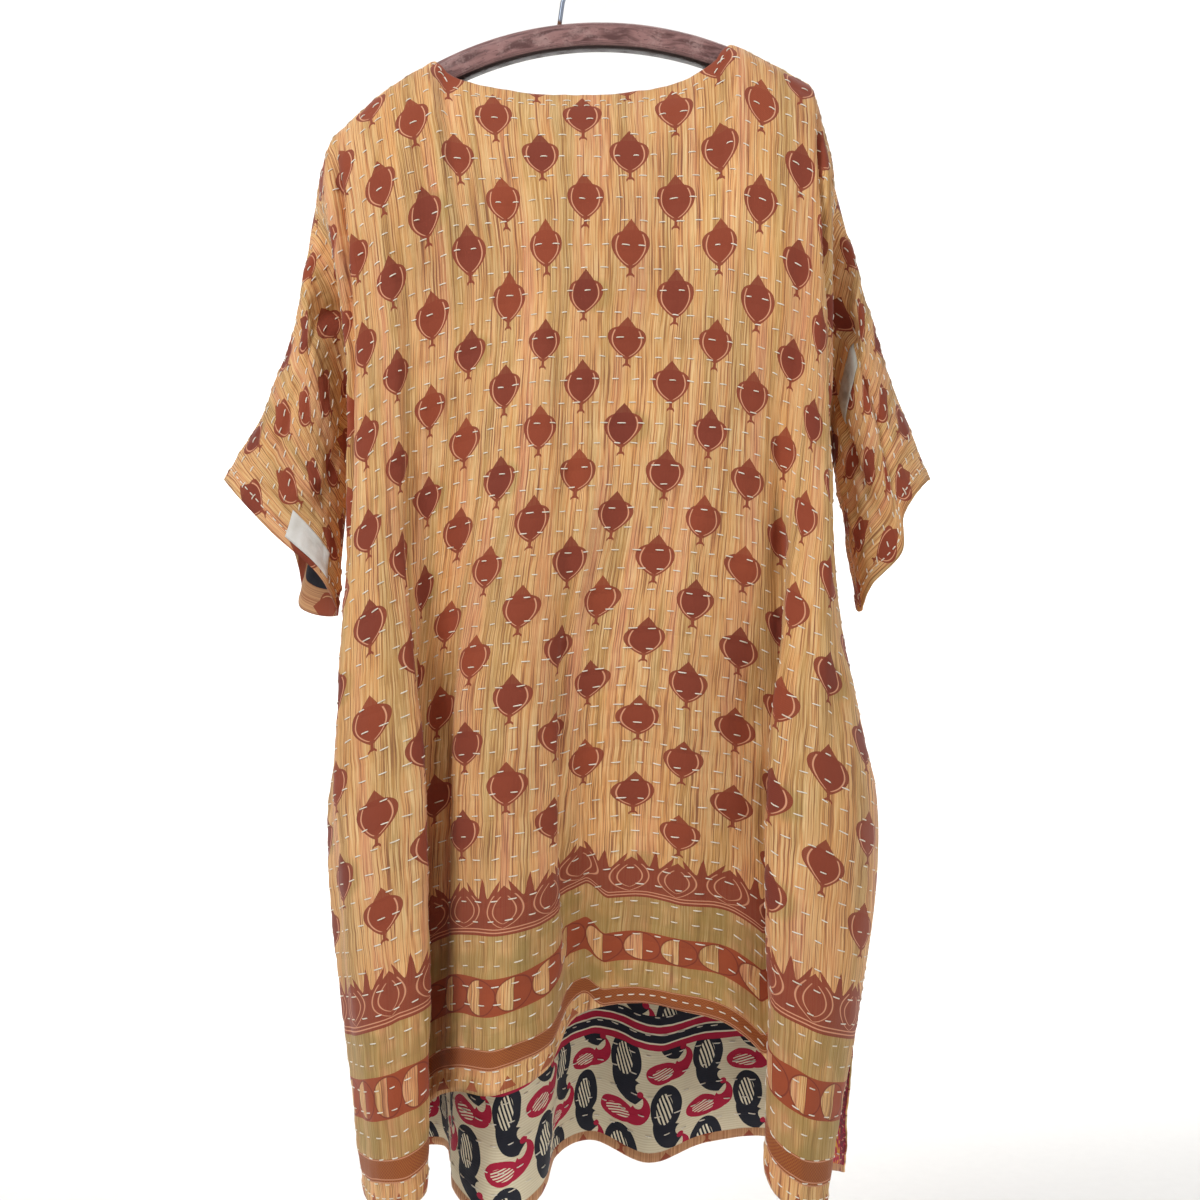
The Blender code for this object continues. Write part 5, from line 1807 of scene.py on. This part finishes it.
BACK_CREASES = (
    Crease((-0.248, 0.040), (-0.260, 0.210), 0.0080, 0.0109, 0.004),
    Crease((-0.256, 0.170), (-0.266, 0.440), 0.0090, 0.0099, -0.003),
    Crease((0.228, 0.045), (0.260, 0.210), 0.0080, 0.0105, -0.003),
    Crease((0.258, 0.180), (0.288, 0.430), 0.0090, 0.0093, 0.004),
    Crease((-0.172, 0.130), (-0.180, 0.560), 0.0110, 0.0056, 0.005),
    Crease((-0.110, 0.380), (-0.118, 0.960), 0.0120, 0.0053, -0.006),
    Crease((-0.046, 0.240), (-0.030, 0.780), 0.0130, 0.0056, 0.006),
    Crease((0.030, 0.160), (0.016, 0.600), 0.0120, 0.0047, -0.005),
    Crease((0.076, 0.460), (0.090, 0.980), 0.0120, 0.0056, 0.004),
    Crease((0.132, 0.130), (0.128, 0.520), 0.0130, 0.0047, 0.005),
    Crease((0.184, 0.380), (0.176, 0.940), 0.0100, 0.0068, -0.004),
    Crease((0.240, 0.500), (0.232, 0.980), 0.0120, 0.0053, 0.004),
    Crease((-0.300, 0.480), (-0.310, 0.980), 0.0130, 0.0053, -0.004),
    Crease((-0.080, 0.070), (-0.060, 0.260), 0.0120, 0.0034, 0.004),
    Crease((0.090, 0.075), (0.070, 0.270), 0.0120, 0.0037, -0.004),
    Crease((-0.555, 0.090), (-0.330, 0.130), 0.0090, 0.0059, 0.006),
    Crease((-0.530, 0.170), (-0.310, 0.225), 0.0080, 0.0062, -0.005),
    Crease((-0.430, 0.035), (-0.300, 0.150), 0.0110, 0.0047, 0.004),
    Crease((0.560, 0.100), (0.350, 0.140), 0.0085, 0.0062, -0.006),
    Crease((0.540, 0.165), (0.340, 0.220), 0.0075, 0.0065, 0.005),
    Crease((0.440, 0.035), (0.310, 0.160), 0.0110, 0.0047, -0.004),
)


def report(piece: bpy.types.Object) -> None:
    """Log a piece's name and its number of faces."""
    LOG.info("%s: %d faces", piece.name, len(piece.data.polygons))


def main() -> None:
    """Build the pieces in order, and report each one."""
    logging.basicConfig(level=logging.INFO, format="%(name)s %(message)s")
    front = ClothPanel("tunic_front", "front_panel", Side.FRONT, FRONT_LENGTH, FRONT_FOLDS,
                       {-1: (0.002, -0.016), 1: (-0.024, -0.022)}, FRONT_DROOP, FRONT_CREASES, 11)
    back = ClothPanel("tunic_back", "back_panel", Side.BACK, BACK_LENGTH, BACK_FOLDS,
                      {-1: (0.008, 0.022), 1: (0.022, 0.028)}, BACK_DROOP, BACK_CREASES, 23)
    effects = Effects.build()
    lining = PrintedLining("front lining", FRONT_LENGTH).build(effects)
    thread = PlainFinish("stitching thread", srgb(250, 244, 230), srgb(228, 216, 194), 0.8).build(effects)
    report(front.build(PrintedCotton("front cotton", FRONT_LENGTH, 22.0).build(effects), lining))
    report(back.build(PrintedCotton("back cotton", BACK_LENGTH).build(effects),
                      PrintedLining("back lining", BACK_LENGTH, True).build(effects)))
    for panel, name, seed in ((front, "front_stitches", 5), (back, "back_stitches", 9)):
        rows = StitchRows(panel, seed=seed)
        report(rows.build(name, np.concatenate([rows.dashes(), rows.edging()]), thread))
    inside = StitchRows(back, Face.REVERSE, seed=14)
    report(inside.build("lining_stitches", inside.dashes(), thread))
    tape = PlainWeave("label tape", srgb(254, 253, 249), srgb(228, 222, 208), 0.0011, 0.30).build(effects)
    label = SewnPatch(
        "cuff_label", "sleeve_label", "label_tape", front,
        ((-0.562, 0.122), (-0.534, 0.122), (-0.534, 0.182), (-0.562, 0.182)),
        (0.020, 0.058), 0.0006,
    )
    report(label.build(tape))
    mend = PlainWeave("mending cloth", srgb(212, 208, 196), srgb(158, 150, 136), 0.0013, 0.8).build(effects)
    patch = SewnPatch(
        "sleeve_mend", "sleeve_patch", "mending_cloth", front,
        ((0.385, 0.116), (0.405, 0.116), (0.405, 0.181), (0.385, 0.181)),
        (0.020, 0.065), 0.0010,
    )
    report(patch.build(mend))
    hanger = Hanger()
    report(hanger.build_bar(OldWood().build(effects)))
    report(hanger.build_hook(DrawnWire().build(effects)))
    studio = Studio()
    paper = PlainFinish("pale paper", srgb(244, 243, 241), srgb(242, 241, 239), 0.9).build(effects)
    studio.build_backdrop(paper)
    studio.build()


if __name__ == "__main__":
    main()
